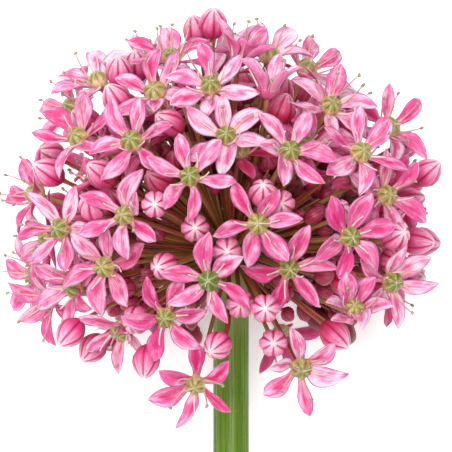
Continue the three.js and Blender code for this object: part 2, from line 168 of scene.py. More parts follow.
# Stamens, fresh and withered: the least length, the bend and what luck adds to it, in degrees, and the lean.
FRESH_THREAD = {"length": 7.2, "bend": -34, "bend_wander": 24, "lean": 0.7}
WITHERED_THREAD = {"length": 4.2, "bend": -40, "bend_wander": 50, "lean": 1.6}

# All stamens: where they leave the floret, how steeply they rise and what luck adds to it, in degrees, how
# much they follow a steep petal, what luck adds to their length, their radius, what share of them is withered
# at the umbel's outline, and how much larger that share is where the umbel faces the viewer.
THREAD_ROOT_OUT, THREAD_ROOT_LEVEL = 1.75, -0.7
THREAD_HEADING, THREAD_HEADING_WANDER = 34, 26
PETAL_FOLLOWED = 0.5
LENGTH_SPREAD = 1.8
THREAD_RADIUS = 0.29
LEAST_WITHERED, MORE_WITHERED = 0.1, 0.85

# Styles: how far up the ovary they stand, and then the same as for stamens.
STYLE_FOOT = 0.82
STYLE_HEADING, STYLE_HEADING_WANDER = 62, 24
STYLE_BEND, STYLE_BEND_WANDER = -20, 60
STYLE_LEAN = 0.3
STYLE_LENGTH, STYLE_SPREAD = 2.6, 1.6
STYLE_RADIUS = 0.16

# The stalk's turned body: the rounding of its cut edge, the dish of the cut face and the neck as radii and
# levels, the angles of the receptacle's rings, the spacing and number of the stalk's own rings, over how many
# of them it tapers, and its sides.
CUT_EDGE = 0.35
CUT_DISH = [(0.6, CUT_EDGE), (2.0, 0.3), (3.4, 0.12)]
NECK = [(4.2, -7.4), (4.35, -5.4)]
RECEPTACLE_TURNS = [math.radians(turn) for turn in (128, 115, 102, 88, 74, 60, 46, 32, 18, 7)]
RING_STEP = 6
RING_COUNT = 23
TAPER_RINGS = 13
STALK_SIDES = 72

# Colours: how much the studio's light brightens them, the tint of painted shade, which is
# what is left of one deep inside the umbel, and how far from the umbel's middle that painted shade is full.
STUDIO_GAIN = 1.44
PAINTED_SHADE_TINT = (0.8, 0.26, 0.42, 1.0)
PAINTED_SHADE_RADIUS = 37.0
WHITE = (1.0, 1.0, 1.0, 1.0)

REACH_TO_CUT = math.hypot(STALK_LENGTH, CUT_END_RADIUS)
LIE_SLOPE = math.asin(UMBEL_HEIGHT / REACH_TO_CUT) - math.atan2(CUT_END_RADIUS, STALK_LENGTH)
UP = np.array([0.0, math.sin(LIE_SLOPE), math.cos(LIE_SLOPE)])

# The first use of each kind of repeatable number. Each tepal has a few of its own.
USES = {"turn": 1, "wander": 2, "kind": 5, "tone": 7, "lift": 10, "length": 20, "shell": 50, "petal": 60,
        "stamen": 120, "style": 180, "pedicel": 200, "small": 300}
USES_OF_TEPAL = 8

# The photograph: its scale, the pixel where the pedicels meet, and its middle.
MM_PER_PIXEL = 0.235
UMBEL_PIXEL = (231, 250)
MIDDLE_PIXEL = (226, 226)
PHOTO_PIXELS = 452

# Open florets: the ovary's pixel, one tepal tip's pixel and, seen from the side, the way the floret faces.
OPEN_PIXELS = [
    (98, 81, 78, 92, -0.35, 0.8), (71, 107, 67, 76, -0.75, 0.4), (79, 138, 65, 170), (134, 143, 149, 101),
    (156, 94, 115, 86), (171, 58, 190, 64, 0.05, 0.85), (211, 89, 241, 100), (268, 55, 248, 27, 0.15, 0.8),
    (307, 68, 322, 78, 0.4, 0.75), (329, 108, 302, 84), (389, 128, 384, 96), (226, 138, 232, 179),
    (288, 153, 309, 114), (358, 154, 388, 128), (384, 196, 417, 171), (191, 178, 221, 146),
    (127, 216, 131, 176), (35, 194, 40, 220, -0.85, 0.3), (63, 229, 45, 186), (257, 224, 242, 260),
    (347, 237, 355, 197), (107, 266, 121, 222), (75, 285, 73, 320, -0.6, -0.1), (287, 268, 256, 233),
    (209, 279, 180, 270), (389, 281, 380, 239), (49, 300, 20, 335, -0.65, -0.3),
    (35, 275, 29, 247, -0.85, 0.05), (167, 315, 150, 359), (123, 329, 87, 338, -0.35, -0.6),
    (299, 365, 332, 341), (196, 381, 157, 397), (152, 60, 130, 44, -0.15, 0.85),
]

# The open floret whose ovary is the ripest, a darker green than the others.
RIPE_PIXEL = (209, 279)

# Cups: the pixel of the middle and of the mouth. Buds: the pixel of the middle and of the tip.
CUP_PIXELS = [(221, 60, 224, 43), (240, 59, 245, 43), (267, 92, 268, 64), (351, 307, 352, 300)]
BUD_PIXELS = [
    (196, 31, 192, 15), (213, 24, 214, 10), (120, 73, 119, 58), (118, 101, 109, 87), (137, 66, 135, 51),
    (50, 155, 38, 150), (50, 173, 36, 165), (104, 175, 90, 165), (157, 205, 157, 205), (196, 228, 196, 228),
    (227, 251, 227, 251), (280, 204, 280, 204), (166, 265, 159, 266), (406, 144, 418, 140),
    (426, 173, 438, 163), (415, 241, 435, 243), (392, 236, 400, 232), (333, 333, 346, 345),
    (264, 306, 264, 306), (272, 340, 272, 340), (240, 302, 240, 302), (218, 342, 211, 348),
    (73, 331, 62, 343), (138, 318, 132, 322), (391, 260, 398, 262), (96, 207, 92, 198),
    (336, 213, 338, 207), (262, 194, 262, 186), (94, 347, 84, 359), (148, 358, 146, 374),
]


# ---------------------------------------------------------------- where the florets stand

def chance(index, use):
    """A repeatable number from 0 to 1 for one floret and one use of it."""
    wave = math.sin(index * 127.1 + use * 311.7) * 43758.5453
    return wave - math.floor(wave)


def draws(index, first, count):
    """Several such numbers of one floret, for uses that follow each other."""
    return [chance(index, first + use) for use in range(count)]


def vector(x, y, z):
    return np.array([x, y, z], dtype=float)


def unit(v):
    return v / np.linalg.norm(v)


def distance(a, b):
    return float(np.linalg.norm(a - b))


def umbel_point(x, y, radius):
    """The umbel's point that a pixel shows: on a sphere or, at the outline, near the middle plane."""
    right = (x - UMBEL_PIXEL[0]) * MM_PER_PIXEL
    up = (UMBEL_PIXEL[1] - y) * MM_PER_PIXEL
    inside = radius ** 2 - right ** 2 - up ** 2
    return vector(right, up, math.sqrt(inside) if inside > 0 else (radius - UMBEL_RADIUS) * RIM_SPREAD)


def towards_viewer(right, up):
    """A direction that comes towards the viewer, from its parts to the right and up."""
    size = math.hypot(right, up)
    share = min(1.0, FLATTEST_FACING / size) if size else 1.0
    right, up = right * share, up * share
    return vector(right, up, math.sqrt(1 - right ** 2 - up ** 2))


def photographed_florets():
    """The florets that the photograph shows, each with the way it faces."""
    florets = []
    for x, y, tip_x, tip_y, *face in OPEN_PIXELS:
        turned = unit(unit(umbel_point(x, y, UMBEL_RADIUS)) + vector(0, 0, 1))
        facing = towards_viewer(*face) if face else turned
        florets.append(dict(kind="open", pixel=(x, y), facing=facing, depth=0, mark=(tip_x - x, y - tip_y)))
    scale = MM_PER_PIXEL / (BUD_LENGTH / 2)
    for kind, rows in (("cup", CUP_PIXELS), ("bud", BUD_PIXELS)):
        for x, y, tip_x, tip_y in rows:
            facing = towards_viewer((tip_x - x) * scale, (y - tip_y) * scale)
            florets.append(dict(kind=kind, pixel=(x, y), facing=facing, depth=0, mark=(1, 0)))
    return florets


def spiral_way(i, count, wander):
    """One direction of the golden spiral that runs from the umbel's top to its lower edge."""
    up = 1 - (i + 0.5) / count * (1 - math.cos(UMBEL_POLAR_LIMIT))
    turn = i * GOLDEN_TURN + wander
    out = math.sqrt(1 - up ** 2)
    return vector(out * math.cos(turn), up, out * math.sin(turn))


def is_offered(direction):
    """Whether the umbel has florets of the spiral in a direction."""
    x, y, z = direction
    at_side = z > SEEN_DEPTH or abs(x) > SIDE_SHARE
    return z <= MIDDLE_DEPTH and (not at_side or y >= math.cos(SIDE_POLAR_LIMIT))


def spiral_florets():
    """The florets of the sides, the underside and the gaps, on a golden spiral."""
    florets = []
    for i in range(SPIRAL_COUNT):
        direction = spiral_way(i, SPIRAL_COUNT, (chance(i, USES["turn"]) - 0.5) * SPIRAL_WANDER)
        wander = vector(*draws(i, USES["wander"], 3)) - 0.5
        rule = GAP_FLORET if direction[2] > SEEN_DEPTH else HIDDEN_FLORET
        florets.append(dict(
            rule,
            kind="open" if chance(i, USES["kind"]) < rule["open_share"] else "bud",
            direction=direction,
            facing=unit(direction + wander * FACING_WANDER),
            mark=(math.cos(i), math.sin(i)),
        ))
    return [floret for floret in florets if is_offered(floret["direction"])]


def off_pedicel(point, end):
    """How far a point is from the straight line from the umbel's middle to another point."""
    share = min(1.0, max(0.0, float(point @ end) / float(end @ end)))
    return distance(end * share, point)


def has_room(floret, placed):
    """Whether a spiral floret would stand clear of those already placed and of their pedicels."""
    rough = floret["direction"] * (UMBEL_RADIUS - floret["depth"])
    return all(distance(other["at"], rough) > floret["spacing"]
               and min(off_pedicel(rough, other["at"]), off_pedicel(other["at"], rough)) > PEDICEL_ROOM
               for other in placed)


def reach_down(floret):
    """How far a floret's body reaches below its middle when the surface is below it."""
    if floret["kind"] != "bud":
        return OVARY_RADIUS
    steepness = abs(float(floret["facing"] @ UP))
    return math.hypot(BUD_LENGTH / 2 * steepness, BUD_RADIUS * math.sqrt(1 - steepness ** 2))


def settle(floret, placed):
    """Gives a floret its place: in the layer where it has most room, and no lower than the surface."""
    places = []
    for layer in LAYERS:
        radius = UMBEL_RADIUS + layer * LAYER_STEP - floret["depth"]
        pixel = floret.get("pixel")
        places.append(umbel_point(*pixel, radius) if pixel else floret["direction"] * radius)
    rooms = [min([ROOMY] + [distance(other["at"], at) for other in placed]) for at in places]
    at = places[rooms.index(max(rooms))]
    reach = reach_down(floret)
    fall = -float(at @ UP)
    if fall + reach > UMBEL_HEIGHT:
        at = at * ((UMBEL_HEIGHT + PRESS_DEPTH - reach) / fall)
    floret["at"] = at
    placed.append(floret)


def give_axes(floret):
    """A floret's two directions square to the way it faces, the first one towards its mark."""
    facing, (right, up) = floret["facing"], floret["mark"]
    depth = max(abs(facing[2]), SHALLOWEST_MARK) * (-1 if facing[2] < 0 else 1)
    towards = vector(right, up, -(facing[0] * right + facing[1] * up) / depth)
    floret["first"] = unit(towards - facing * float(towards @ facing))
    floret["second"] = np.cross(facing, floret["first"])


def place_florets():
    """Every floret of the umbel, in the umbel's own frame."""
    placed = []
    for floret in photographed_florets():
        settle(floret, placed)
    for floret in spiral_florets():
        if has_room(floret, placed):
            settle(floret, placed)
    for index, floret in enumerate(placed):
        floret["index"] = index
        give_axes(floret)
    return placed


def undeveloped():
    """Small buds that never opened, on short thin pedicels all round inside the umbel."""
    small = []
    for i in range(SMALL_COUNT):
        luck = draws(i, USES["small"], 8)
        way = unit(spiral_way(i, SMALL_COUNT, luck[0]) + (vector(*luck[1:4]) - 0.5) * SMALL_WANDER)
        facing = unit(way + (vector(*luck[4:7]) - 0.5) * SMALL_TURN)
        if way[2] > SMALL_FACING:
            continue
        small.append(dict(
            kind="small",
            index=FIRST_SMALL_INDEX + i,
            at=way * (SMALL_NEAREST + SMALL_SPREAD * luck[7]),
            facing=facing,
            share=SMALL_SHARE + SMALL_GROWTH * luck[7] ** 2 + (SMALL_BEHIND if way[2] < 0 else SMALL_AHEAD),
            first=unit(np.cross(facing, vector(luck[0], 1, luck[1]))),
            root=way * RECEPTACLE_RADIUS,
        ))
    return small


# ---------------------------------------------------------------- from the umbel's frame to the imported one

SLOPE = np.array([
    [1, 0, 0],
    [0, math.cos(LIE_SLOPE), -math.sin(LIE_SLOPE)],
    [0, math.sin(LIE_SLOPE), math.cos(LIE_SLOPE)],
])


def corners_of(node):
    """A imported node's vertices in millimetres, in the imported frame."""
    mesh = CAD[node].data
    flat = np.zeros(len(mesh.vertices) * 3)
    mesh.vertices.foreach_get("co", flat)
    return flat.reshape(-1, 3) / MM


def find_umbel_middle():
    """The umbel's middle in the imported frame, from the top of the receptacle."""
    axis = SLOPE @ vector(0, 1, 0)
    corners = corners_of("scape")
    top = corners[np.argmax(corners @ axis)]
    return top - axis * RECEPTACLE_RADIUS


UMBEL_MIDDLE = find_umbel_middle()


def laid(points):
    """Points of the umbel's frame, in millimetres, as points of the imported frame, in metres."""
    return (np.asarray(points) @ SLOPE.T + UMBEL_MIDDLE) * MM


def laid_direction(directions):
    return np.asarray(directions) @ SLOPE.T


def natural_lift(floret, tepal):
    rest = CUP_LIFT if floret["kind"] == "cup" else OPEN_LIFT
    return rest + (chance(floret["index"], USES["lift"] + tepal) - 0.5) * LIFT_WANDER


def natural_length(floret, tepal):
    return TEPAL_LENGTH * (1 + (chance(floret["index"], USES["length"] + tepal) - 0.5) * LENGTH_WANDER)


def outward_of(floret, tepal):
    turn = tepal * math.tau / TEPAL_COUNT
    return floret["first"] * math.cos(turn) + floret["second"] * math.sin(turn)


def blade_end(lift, length):
    """How far out and how high the solid's blade ends, from its root."""
    first, last = lift + TEPAL_CURL / 2, lift - TEPAL_CURL / 2
    near, far = WIDEST_SHARE * length, (1 - WIDEST_SHARE) * length
    return (near * math.cos(first) + far * math.cos(last), near * math.sin(first) + far * math.sin(last))


def gap_to(point, corners):
    """How far a point is from the nearest corner."""
    return float(np.min(np.linalg.norm(corners - point, axis=1)))


def read_tepal(floret, tepal, corners):
    """The lift and the length that the solid's blade has: the bend whose tip is one of its vertices."""
    outward = outward_of(floret, tepal)
    ways = [(share, change) for share in LENGTH_SHARES for change in LIFT_CHANGES] + [(STUB_SHARE, 0)]
    bend, least_gap = (OPEN_LIFT, TEPAL_LENGTH), math.inf
    for share, change in ways:
        lift = min(natural_lift(floret, tepal) + change, STEEPEST_LIFT)
        length = natural_length(floret, tepal) * share
        out, rise = blade_end(lift, length)
        tip = floret["at"] + outward * (TEPAL_ROOT_OUT + out) + floret["facing"] * (TEPAL_ROOT_LEVEL + rise)
        gap = gap_to(tip, corners)
        if gap < least_gap - CLEARLY_NEARER:
            bend, least_gap = (lift, length), gap
    return bend


def misfit(floret, corners):
    """How badly a spray fits a floret: its top should be a corner, or else the nearest spray is the one."""
    reach = BUD_LENGTH / 2 if floret["kind"] == "bud" else OVARY_RADIUS
    gap = gap_to(floret["at"] + floret["facing"] * reach, corners)
    return gap if gap < SAME_POINT else 1 + gap_to(floret["at"], corners)


def read_solids(florets):
    """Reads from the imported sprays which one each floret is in, its root and the bend of its tepals."""
    own = {name: (corners_of(name) - UMBEL_MIDDLE) @ SLOPE for name in SPRAY_NAMES}
    roots = {}
    for name, corners in own.items():
        near = corners[np.linalg.norm(corners, axis=1) < RECEPTACLE_RADIUS + ROOT_REACH]
        roots[name] = unit(near.mean(axis=0)) * (RECEPTACLE_RADIUS + CLEARANCE)
    for floret in florets:
        spray = min(own, key=lambda name: misfit(floret, own[name]))
        floret["root"] = roots[spray]
        if floret["kind"] != "bud":
            floret["bends"] = [read_tepal(floret, tepal, own[spray]) for tepal in range(TEPAL_COUNT)]


florets = place_florets()
read_solids(florets)
open_florets = [floret for floret in florets if floret["kind"] != "bud"]
buds = [floret for floret in florets if floret["kind"] == "bud"]
small_buds = undeveloped()


# ---------------------------------------------------------------- node trees written as expressions

class Wire:
    """A socket to calculate with: an operator adds the Math or Vector Math node that works it out."""

    def __init__(self, sheet, socket):
        self.sheet = sheet
        self.socket = socket

    def __add__(self, other):
        return self.sheet.work("ADD", self, other)

    def __radd__(self, other):
        return self.sheet.work("ADD", other, self)

    def __sub__(self, other):
        return self.sheet.work("SUBTRACT", self, other)

    def __rsub__(self, other):
        return self.sheet.work("SUBTRACT", other, self)

    def __mul__(self, other):
        return self.sheet.work("MULTIPLY", self, other)

    def __rmul__(self, other):
        return self.sheet.work("MULTIPLY", other, self)

    def __truediv__(self, other):
        return self.sheet.work("DIVIDE", self, other)

    def __rtruediv__(self, other):
        return self.sheet.work("DIVIDE", other, self)

    def __pow__(self, other):
        return self.sheet.work("POWER", self, other)

    def __abs__(self):
        return self.sheet.work("ABSOLUTE", self)

    def is_vector(self):
        return self.socket.type in ("VECTOR", "RGBA")


class Sheet:
    """A node tree that is written in Python, one node or one expression at a time."""

    def __init__(self, tree):
        self.tree = tree

    def node(self, kind, settings=None, sockets=None):
        """A node of a type: its settings first, then the values or links of its sockets."""
        made = self.tree.nodes.new(kind)
        for name, value in (settings or {}).items():
            if name == "stops":
                self.set_stops(made.color_ramp, value)
            elif name == "curve":
                self.set_curve(made.mapping, value)
            else:
                setattr(made, name, value)
        for name, value in (sockets or {}).items():
            self.feed(self.find(made.inputs, name), value)
        return made

    @staticmethod
    def find(sockets, name):
        shown = [socket for socket in sockets if socket.enabled]
        if isinstance(name, int):
            return shown[name]
        return next(socket for socket in shown if socket.name == name)

    @staticmethod
    def set_stops(ramp, stops):
        while len(ramp.elements) < len(stops):
            ramp.elements.new(1.0)
        for element, (place, colour) in zip(ramp.elements, stops):
            element.position = place
            element.color = colour

    @staticmethod
    def set_curve(mapping, points):
        curve = mapping.curves[0]
        while len(curve.points) < len(points):
            curve.points.new(0.5, 0.5)
        for point, place in zip(curve.points, points):
            point.location = place
        mapping.update()

    def feed(self, socket, value):
        if isinstance(value, Wire):
            self.tree.links.new(value.socket, socket)
        else:
            socket.default_value = value

    def out(self, made, name=0):
        return Wire(self, self.find(made.outputs, name))

    def result(self, kind, settings=None, sockets=None, name=0):
        """What a new node gives: its first output, or a named one."""
        return self.out(self.node(kind, settings, sockets), name)

    def work(self, operation, *values):
        """The result of a Math node, or of a Vector Math node where a value is a vector."""
        vectors = [isinstance(value, Wire) and value.is_vector() for value in values]
        if not any(vectors):
            return self.result("ShaderNodeMath", {"operation": operation}, dict(enumerate(values)))
        if operation == "MULTIPLY" and not all(vectors):
            wire, scale = values if vectors[0] else values[::-1]
            sockets = {"Vector": wire, "Scale": scale}
            return self.result("ShaderNodeVectorMath", {"operation": "SCALE"}, sockets)
        return self.result("ShaderNodeVectorMath", {"operation": operation}, dict(enumerate(values)))

    def sine(self, value):
        return self.work("SINE", value)

    def cosine(self, value):
        return self.work("COSINE", value)

    def most(self, a, b):
        return self.work("MAXIMUM", a, b)

    def cross(self, a, b):
        return self.work("CROSS_PRODUCT", a, b)

    def unit(self, wire):
        return self.work("NORMALIZE", wire)

    def length(self, wire):
        return self.result("ShaderNodeVectorMath", {"operation": "LENGTH"}, {0: wire}, "Value")

    def parts(self, wire):
        """The three numbers of a vector."""
        made = self.node("ShaderNodeSeparateXYZ", {}, {"Vector": wire})
        return [self.out(made, axis) for axis in "XYZ"]

    def point(self, x, y, z):
        return self.result("ShaderNodeCombineXYZ", {}, {"X": x, "Y": y, "Z": z})

    def turn_of(self, x, y):
        """The angle of a point round its axis."""
        return self.work("ARCTAN2", y, x)

    def reach_of(self, x, y):
        """How far a point is from its axis."""
        return self.length(self.point(x, y, 0.0))

    def blade(self):
        """Where a point of a tube is: across it, to its side, and along it from 0 to 1."""
        across, side, along = self.parts(self.direction("blade"))
        return across, side, along + 0.5

    def rise(self, value, low, high):
        """A soft step from 0 at low to 1 at high; it falls where low is the larger one."""
        settings = {"interpolation_type": "SMOOTHSTEP"}
        limits = {"Value": value, "From Min": low, "From Max": high, "To Min": 0.0, "To Max": 1.0}
        if low > high:
            limits.update({"From Min": high, "From Max": low, "To Min": 1.0, "To Max": 0.0})
        return self.result("ShaderNodeMapRange", settings, limits)

    def curve(self, value, points):
        return self.result("ShaderNodeFloatCurve", {"curve": points}, {"Value": value})


# ---------------------------------------------------------------- finishes

def paint(red, green, blue):
    """A colour as it looks under the studio's light, 0 to 255, in the linear values that shaders take."""
    shares = [part / 255 for part in (red, green, blue)]
    linear = [s / 12.92 if s <= 0.04045 else ((s + 0.055) / 1.055) ** 2.4 for s in shares]
    return tuple(value / STUDIO_GAIN for value in linear) + (1.0,)


class Finish(Sheet):
    """A material's tree, with its one shader."""

    def __init__(self, name, specular, flesh=None, others=None):
        """Sets what is the same all over. Flesh is the light let in, its reach by colour and its scale."""
        self.material = bpy.data.materials.new(name)
        self.material.use_nodes = True
        super().__init__(self.material.node_tree)
        self.shader = self.tree.nodes["Principled BSDF"]
        fixed = {"Specular IOR Level": specular, **(others or {})}
        if flesh:
            fixed["Subsurface Weight"], fixed["Subsurface Radius"] = flesh[:2]
            fixed["Subsurface Scale"] = flesh[2] * MM
        for socket, value in fixed.items():
            self.feed(self.shader.inputs[socket], value)

    def value(self, name, output="Fac"):
        """A number that the mesh holds at its points."""
        settings = {"attribute_type": "GEOMETRY", "attribute_name": name}
        return self.result("ShaderNodeAttribute", settings, {}, output)

    def direction(self, name):
        return self.value(name, "Vector")

    def place(self):
        return self.result("ShaderNodeTexCoord", {}, {}, "Object")

    def shade(self):
        """Painted shade's share: how deep in the umbel a point is, from 0 among the outer florets to 1."""
        # Painted shade: none at the umbel's outer radius, full at the inner radius.
        middle = tuple(float(part) for part in UMBEL_MIDDLE * MM)
        return self.rise(self.length(self.place() - middle), UMBEL_RADIUS * MM, PAINTED_SHADE_RADIUS * MM)

    def noise(self, where, scale, detail=3.0, roughness=0.55):
        return self.result("ShaderNodeTexNoise", {"noise_dimensions": "3D"}, {
            "Vector": where, "Scale": scale, "Detail": detail, "Roughness": roughness})

    def mix(self, share, first, second):
        return self.result("ShaderNodeMix", {"data_type": "RGBA", "clamp_factor": True}, {
            "Factor": share, "A": first, "B": second})

    def layered(self, colour, layers):
        """A colour under more paints, each laid over those before it by its share."""
        for share, laid_over in layers:
            colour = self.mix(share, colour, paint(*laid_over))
        return colour

    def with_painted_shade(self, colour):
        """A colour darkened and reddened by painted shade deep inside the umbel."""
        # Painted shade: the colour is multiplied by the shade's tint, the more the deeper the point lies.
        return self.result("ShaderNodeMix", {"data_type": "RGBA", "blend_type": "MULTIPLY"}, {
            "Factor": self.shade(), "A": colour, "B": PAINTED_SHADE_TINT})

    def ramp(self, value, stops):
        painted = [(place, paint(*colour)) for place, colour in stops]
        return self.result("ShaderNodeValToRGB", {"stops": painted}, {"Fac": value})

    def bump(self, height, strength, depth):
        """A relief on the skin, with its depth in millimetres."""
        self.feed(self.shader.inputs["Normal"], self.result("ShaderNodeBump", {}, {
            "Strength": strength, "Distance": depth * MM, "Height": height}))

    def paint_with(self, colour, roughness):
        self.feed(self.shader.inputs["Base Color"], colour)
        self.feed(self.shader.inputs["Roughness"], roughness)


def tepal_finish():
    """Thin pink petal: pale and deep clouds, irregular magenta streaks, fine veins and a cream claw."""
    skin = Finish("tepal", specular=0.2, flesh=(0.3, (1.0, 0.3, 0.5), 1.4))
    across, side, along = skin.blade()
    tone, drift = skin.value("tone"), skin.value("drift")
    edge = abs(across)
    long_way = skin.point(across * 3.2 + drift * 31.0, along * 0.7 + drift * 17.0, side * 0.3)
    streaks = skin.noise(long_way, 1.9)
    clouds = skin.noise(skin.point(across * 0.8 + drift * 23.0, along * 1.5, drift * 41.0), 1.9, 2.0)
    deep = skin.mix(tone, paint(244, 126, 184), paint(206, 38, 116))
    pale = skin.mix(tone, paint(255, 226, 240), paint(246, 150, 196))
    lit = skin.rise(clouds * 0.8 + streaks * 0.6 - tone * 0.2, 0.47, 0.76)
    patch = skin.rise(edge, 0.62, 0.1) * skin.rise(along, 0.12, 0.4) * skin.rise(along, 0.9, 0.6)
    patch = patch * skin.rise(streaks - clouds * 0.5 + tone * 0.14, 0.16, 0.42)
    tinge = skin.rise(along, 0.62, 0.94) * skin.rise(clouds, 0.62, 0.4)
    veins = skin.rise(abs(skin.sine(across * 10.5 + streaks * 1.4)), 0.42, 0.0) * skin.rise(along, 0.06, 0.2)
    veins = veins * skin.rise(along, 0.97, 0.6) * skin.rise(streaks, 0.3, 0.62)
    midrib = skin.rise(edge, 0.1, 0.0) * skin.rise(along, 0.96, 0.5)
    colour = skin.layered(skin.mix(lit, deep, pale), [
        (patch * (0.55 + tone * 0.45), (206, 30, 112)),
        (tinge * 0.6, (216, 70, 134)),
        (veins * 0.62, (190, 52, 118)),
        (midrib * 0.5, (182, 38, 100)),
        (skin.rise(edge, 0.7, 1.0) * 0.5, (224, 84, 150)),
        (skin.rise(along, 0.94, 1.0) * 0.6, (238, 176, 168)),
        (skin.rise(side, 0.2, -0.3) * 0.6, (255, 116, 180)),
        (skin.rise(along, 0.22, 0.0) * 0.8, (240, 178, 166)),
    ])
    # Painted shade: petals deep inside the umbel are darkened and reddened.
    skin.paint_with(skin.with_painted_shade(colour), skin.rise(streaks, 0.2, 0.9) * 0.2 + 0.4)
    skin.bump(skin.cosine(across * 21.0) * 0.4 + streaks * 1.2 - midrib * 1.4 - veins * 0.4, 0.45, 0.16)
    return skin.material


def bud_finish():
    """Closed bud: pleats paling to the tip, magenta seams deepened by painted shade, a dusky base."""
    skin = Finish("bud", specular=0.4, flesh=(0.15, (1.0, 0.35, 0.5), 0.9))
    x, y, level = skin.parts(skin.direction("shell"))
    tone, drift = skin.value("tone"), skin.value("drift")
    turn = skin.turn_of(x, y)
    seam = abs(skin.cosine(turn * 3.0))
    keel = abs(skin.sine(turn * 3.0))
    streaks = skin.noise(skin.point(x * 3.5 + drift * 21.0, y * 3.5, level * 0.5 + drift * 9.0), 2.2)
    body = skin.ramp(level * 0.5 + 0.5, [
        (0.0, (132, 70, 50)), (0.12, (186, 56, 84)), (0.42, (222, 66, 130)),
        (0.72, (248, 148, 190)), (0.94, (255, 208, 226)), (1.0, (255, 228, 238))])
    deep = skin.mix(tone, paint(228, 76, 136), paint(172, 30, 82))
    band = skin.rise(seam, 0.8, 0.2) * skin.rise(level, 1.0, 0.86)
    # Seam lines: the bud's own magenta seams, made darker as painted shade in the pleats.
    seam_lines_and_shade = skin.rise(seam, 0.4, 0.04) * skin.rise(level, 1.0, 0.94)
    midline = skin.rise(keel, 0.3, 0.0) * skin.rise(level, 0.92, 0.5) * skin.rise(level, -0.95, -0.3)
    colour = skin.layered(skin.mix(skin.rise(streaks, 0.44, 0.72) * 0.5 + tone * 0.2, body, deep), [
        (band * 0.7, (226, 44, 128)),
        (seam_lines_and_shade * 0.9, (156, 22, 66)),
        (midline * 0.45, (206, 56, 120)),
        (skin.rise(level, 0.9, 1.0) * 0.5, (252, 222, 212)),
        (skin.value("young") * (0.5 + tone * 0.5), (130, 42, 56)),
    ])
    # Painted shade: buds deep inside the umbel are darkened and reddened.
    skin.paint_with(skin.with_painted_shade(colour), streaks * 0.25 + 0.34)
    skin.bump(streaks * 0.6 - seam_lines_and_shade - midline * 0.4, 0.4, 0.16)
    return skin.material


def ovary_finish():
    """Round olive ovary: cream ribs from the pole, dark furrows partly painted shade, and a peach flank."""
    skin = Finish("ovary", specular=0.5, flesh=(0.1, (0.8, 0.7, 0.3), 0.6), others={"Coat Weight": 0.08})
    x, y, level = skin.parts(skin.direction("shell"))
    tone, drift, ripe = skin.value("tone"), skin.value("drift"), skin.value("ripe")
    turn = skin.turn_of(x, y)
    mottle = skin.noise(skin.point(x + drift * 13.0, y + drift * 7.0, level), 3.4, 4.0, 0.6)
    green = skin.mix(skin.rise(tone, 0.3, 0.9), paint(170, 156, 84), paint(130, 138, 54))
    green = skin.mix(ripe, green, paint(84, 122, 40))
    flank = skin.mix(tone, paint(234, 196, 150), paint(220, 156, 122))
    flank = skin.mix(ripe * 0.8, flank, paint(120, 140, 60))
    ribs = skin.rise(abs(skin.sine(turn * 3.0 + mottle * 1.2)), 0.5, 0.0) * skin.rise(level, -0.4, 0.3)
    ribs = ribs * skin.rise(mottle, 0.2, 0.5)
    # The furrows are darker olive: partly the ovary's own colour, partly painted shade in the grooves.
    dark_furrows_and_shade = skin.rise(abs(skin.cosine(turn * 3.0 + mottle * 0.6)), 0.5, 0.0) * skin.rise(level, 0.05, 0.5)
    base = skin.mix(skin.rise(level + (mottle - 0.5) * 0.6, 0.74, 0.2), green, flank)
    colour = skin.layered(base, [
        (skin.rise(mottle, 0.46, 0.7) * 0.5, (118, 112, 34)),
        (ribs * 0.6, (232, 218, 144)),
        (dark_furrows_and_shade * 0.65, (92, 92, 22)),
        (skin.rise(level, 0.95, 1.0) * 0.6, (222, 206, 146)),
        (skin.value("young") * skin.rise(level, 0.75, 0.3), (210, 84, 132)),
    ])
    skin.paint_with(colour, mottle * 0.3 + 0.26)
    skin.bump(mottle * 0.8 + ribs - dark_furrows_and_shade, 0.5, 0.25)
    return skin.material


def stamen_finish():
    """Threads that are pink where they leave the petals, pale when they are dry, with dusty anthers."""
    skin = Finish("stamen", specular=0.3, flesh=(0.1, (1.0, 0.6, 0.5), 0.4))
    along = skin.blade()[2]
    drift = skin.value("drift")
    dust = skin.noise(skin.place(), 5200.0, 2.0)
    root_to_tip = skin.mix(skin.rise(along, 0.1, 0.8), paint(244, 188, 172), paint(222, 138, 168))
    thread = skin.layered(root_to_tip, [
        (drift * 0.35, (246, 216, 180)),
        (skin.rise(dust, 0.5, 0.8) * 0.4, (226, 138, 166)),
        (skin.value("dry") * 0.65, (255, 238, 232)),
    ])
    pollen = skin.mix(drift, paint(168, 158, 116), paint(166, 124, 136))
    pollen = skin.mix(skin.rise(dust, 0.4, 0.7) * 0.7, pollen, paint(206, 186, 166))
    skin.paint_with(skin.mix(skin.value("anther"), thread, pollen), 0.55)
    skin.bump(dust, 0.5, 0.1)
    return skin.material


def pedicel_finish():
    """Thin stems: olive and brown, some of them maroon, with a pale and dark grain."""
    skin = Finish("pedicel", specular=0.45)
    across, side, along = skin.blade()
    grain = skin.noise(skin.point(across * 2.0 + skin.value("drift") * 11.0, side * 2.0, along * 3.0), 1.8)
    stem = skin.ramp(along, [
        (0.0, (140, 134, 50)), (0.2, (148, 80, 34)), (0.6, (170, 110, 54)),
        (0.85, (174, 116, 70)), (1.0, (200, 122, 96))])
    colour = skin.layered(stem, [
        (skin.rise(skin.value("tone"), 0.28, 0.8) * 0.85, (154, 38, 28)),
        (skin.rise(grain, 0.52, 0.75) * 0.6, (196, 178, 112)),
        (skin.rise(grain, 0.45, 0.2) * 0.6, (70, 34, 18)),
    ])
    skin.paint_with(colour, grain * 0.3 + 0.3)
    skin.bump(grain, 0.4, 0.15)
    return skin.material


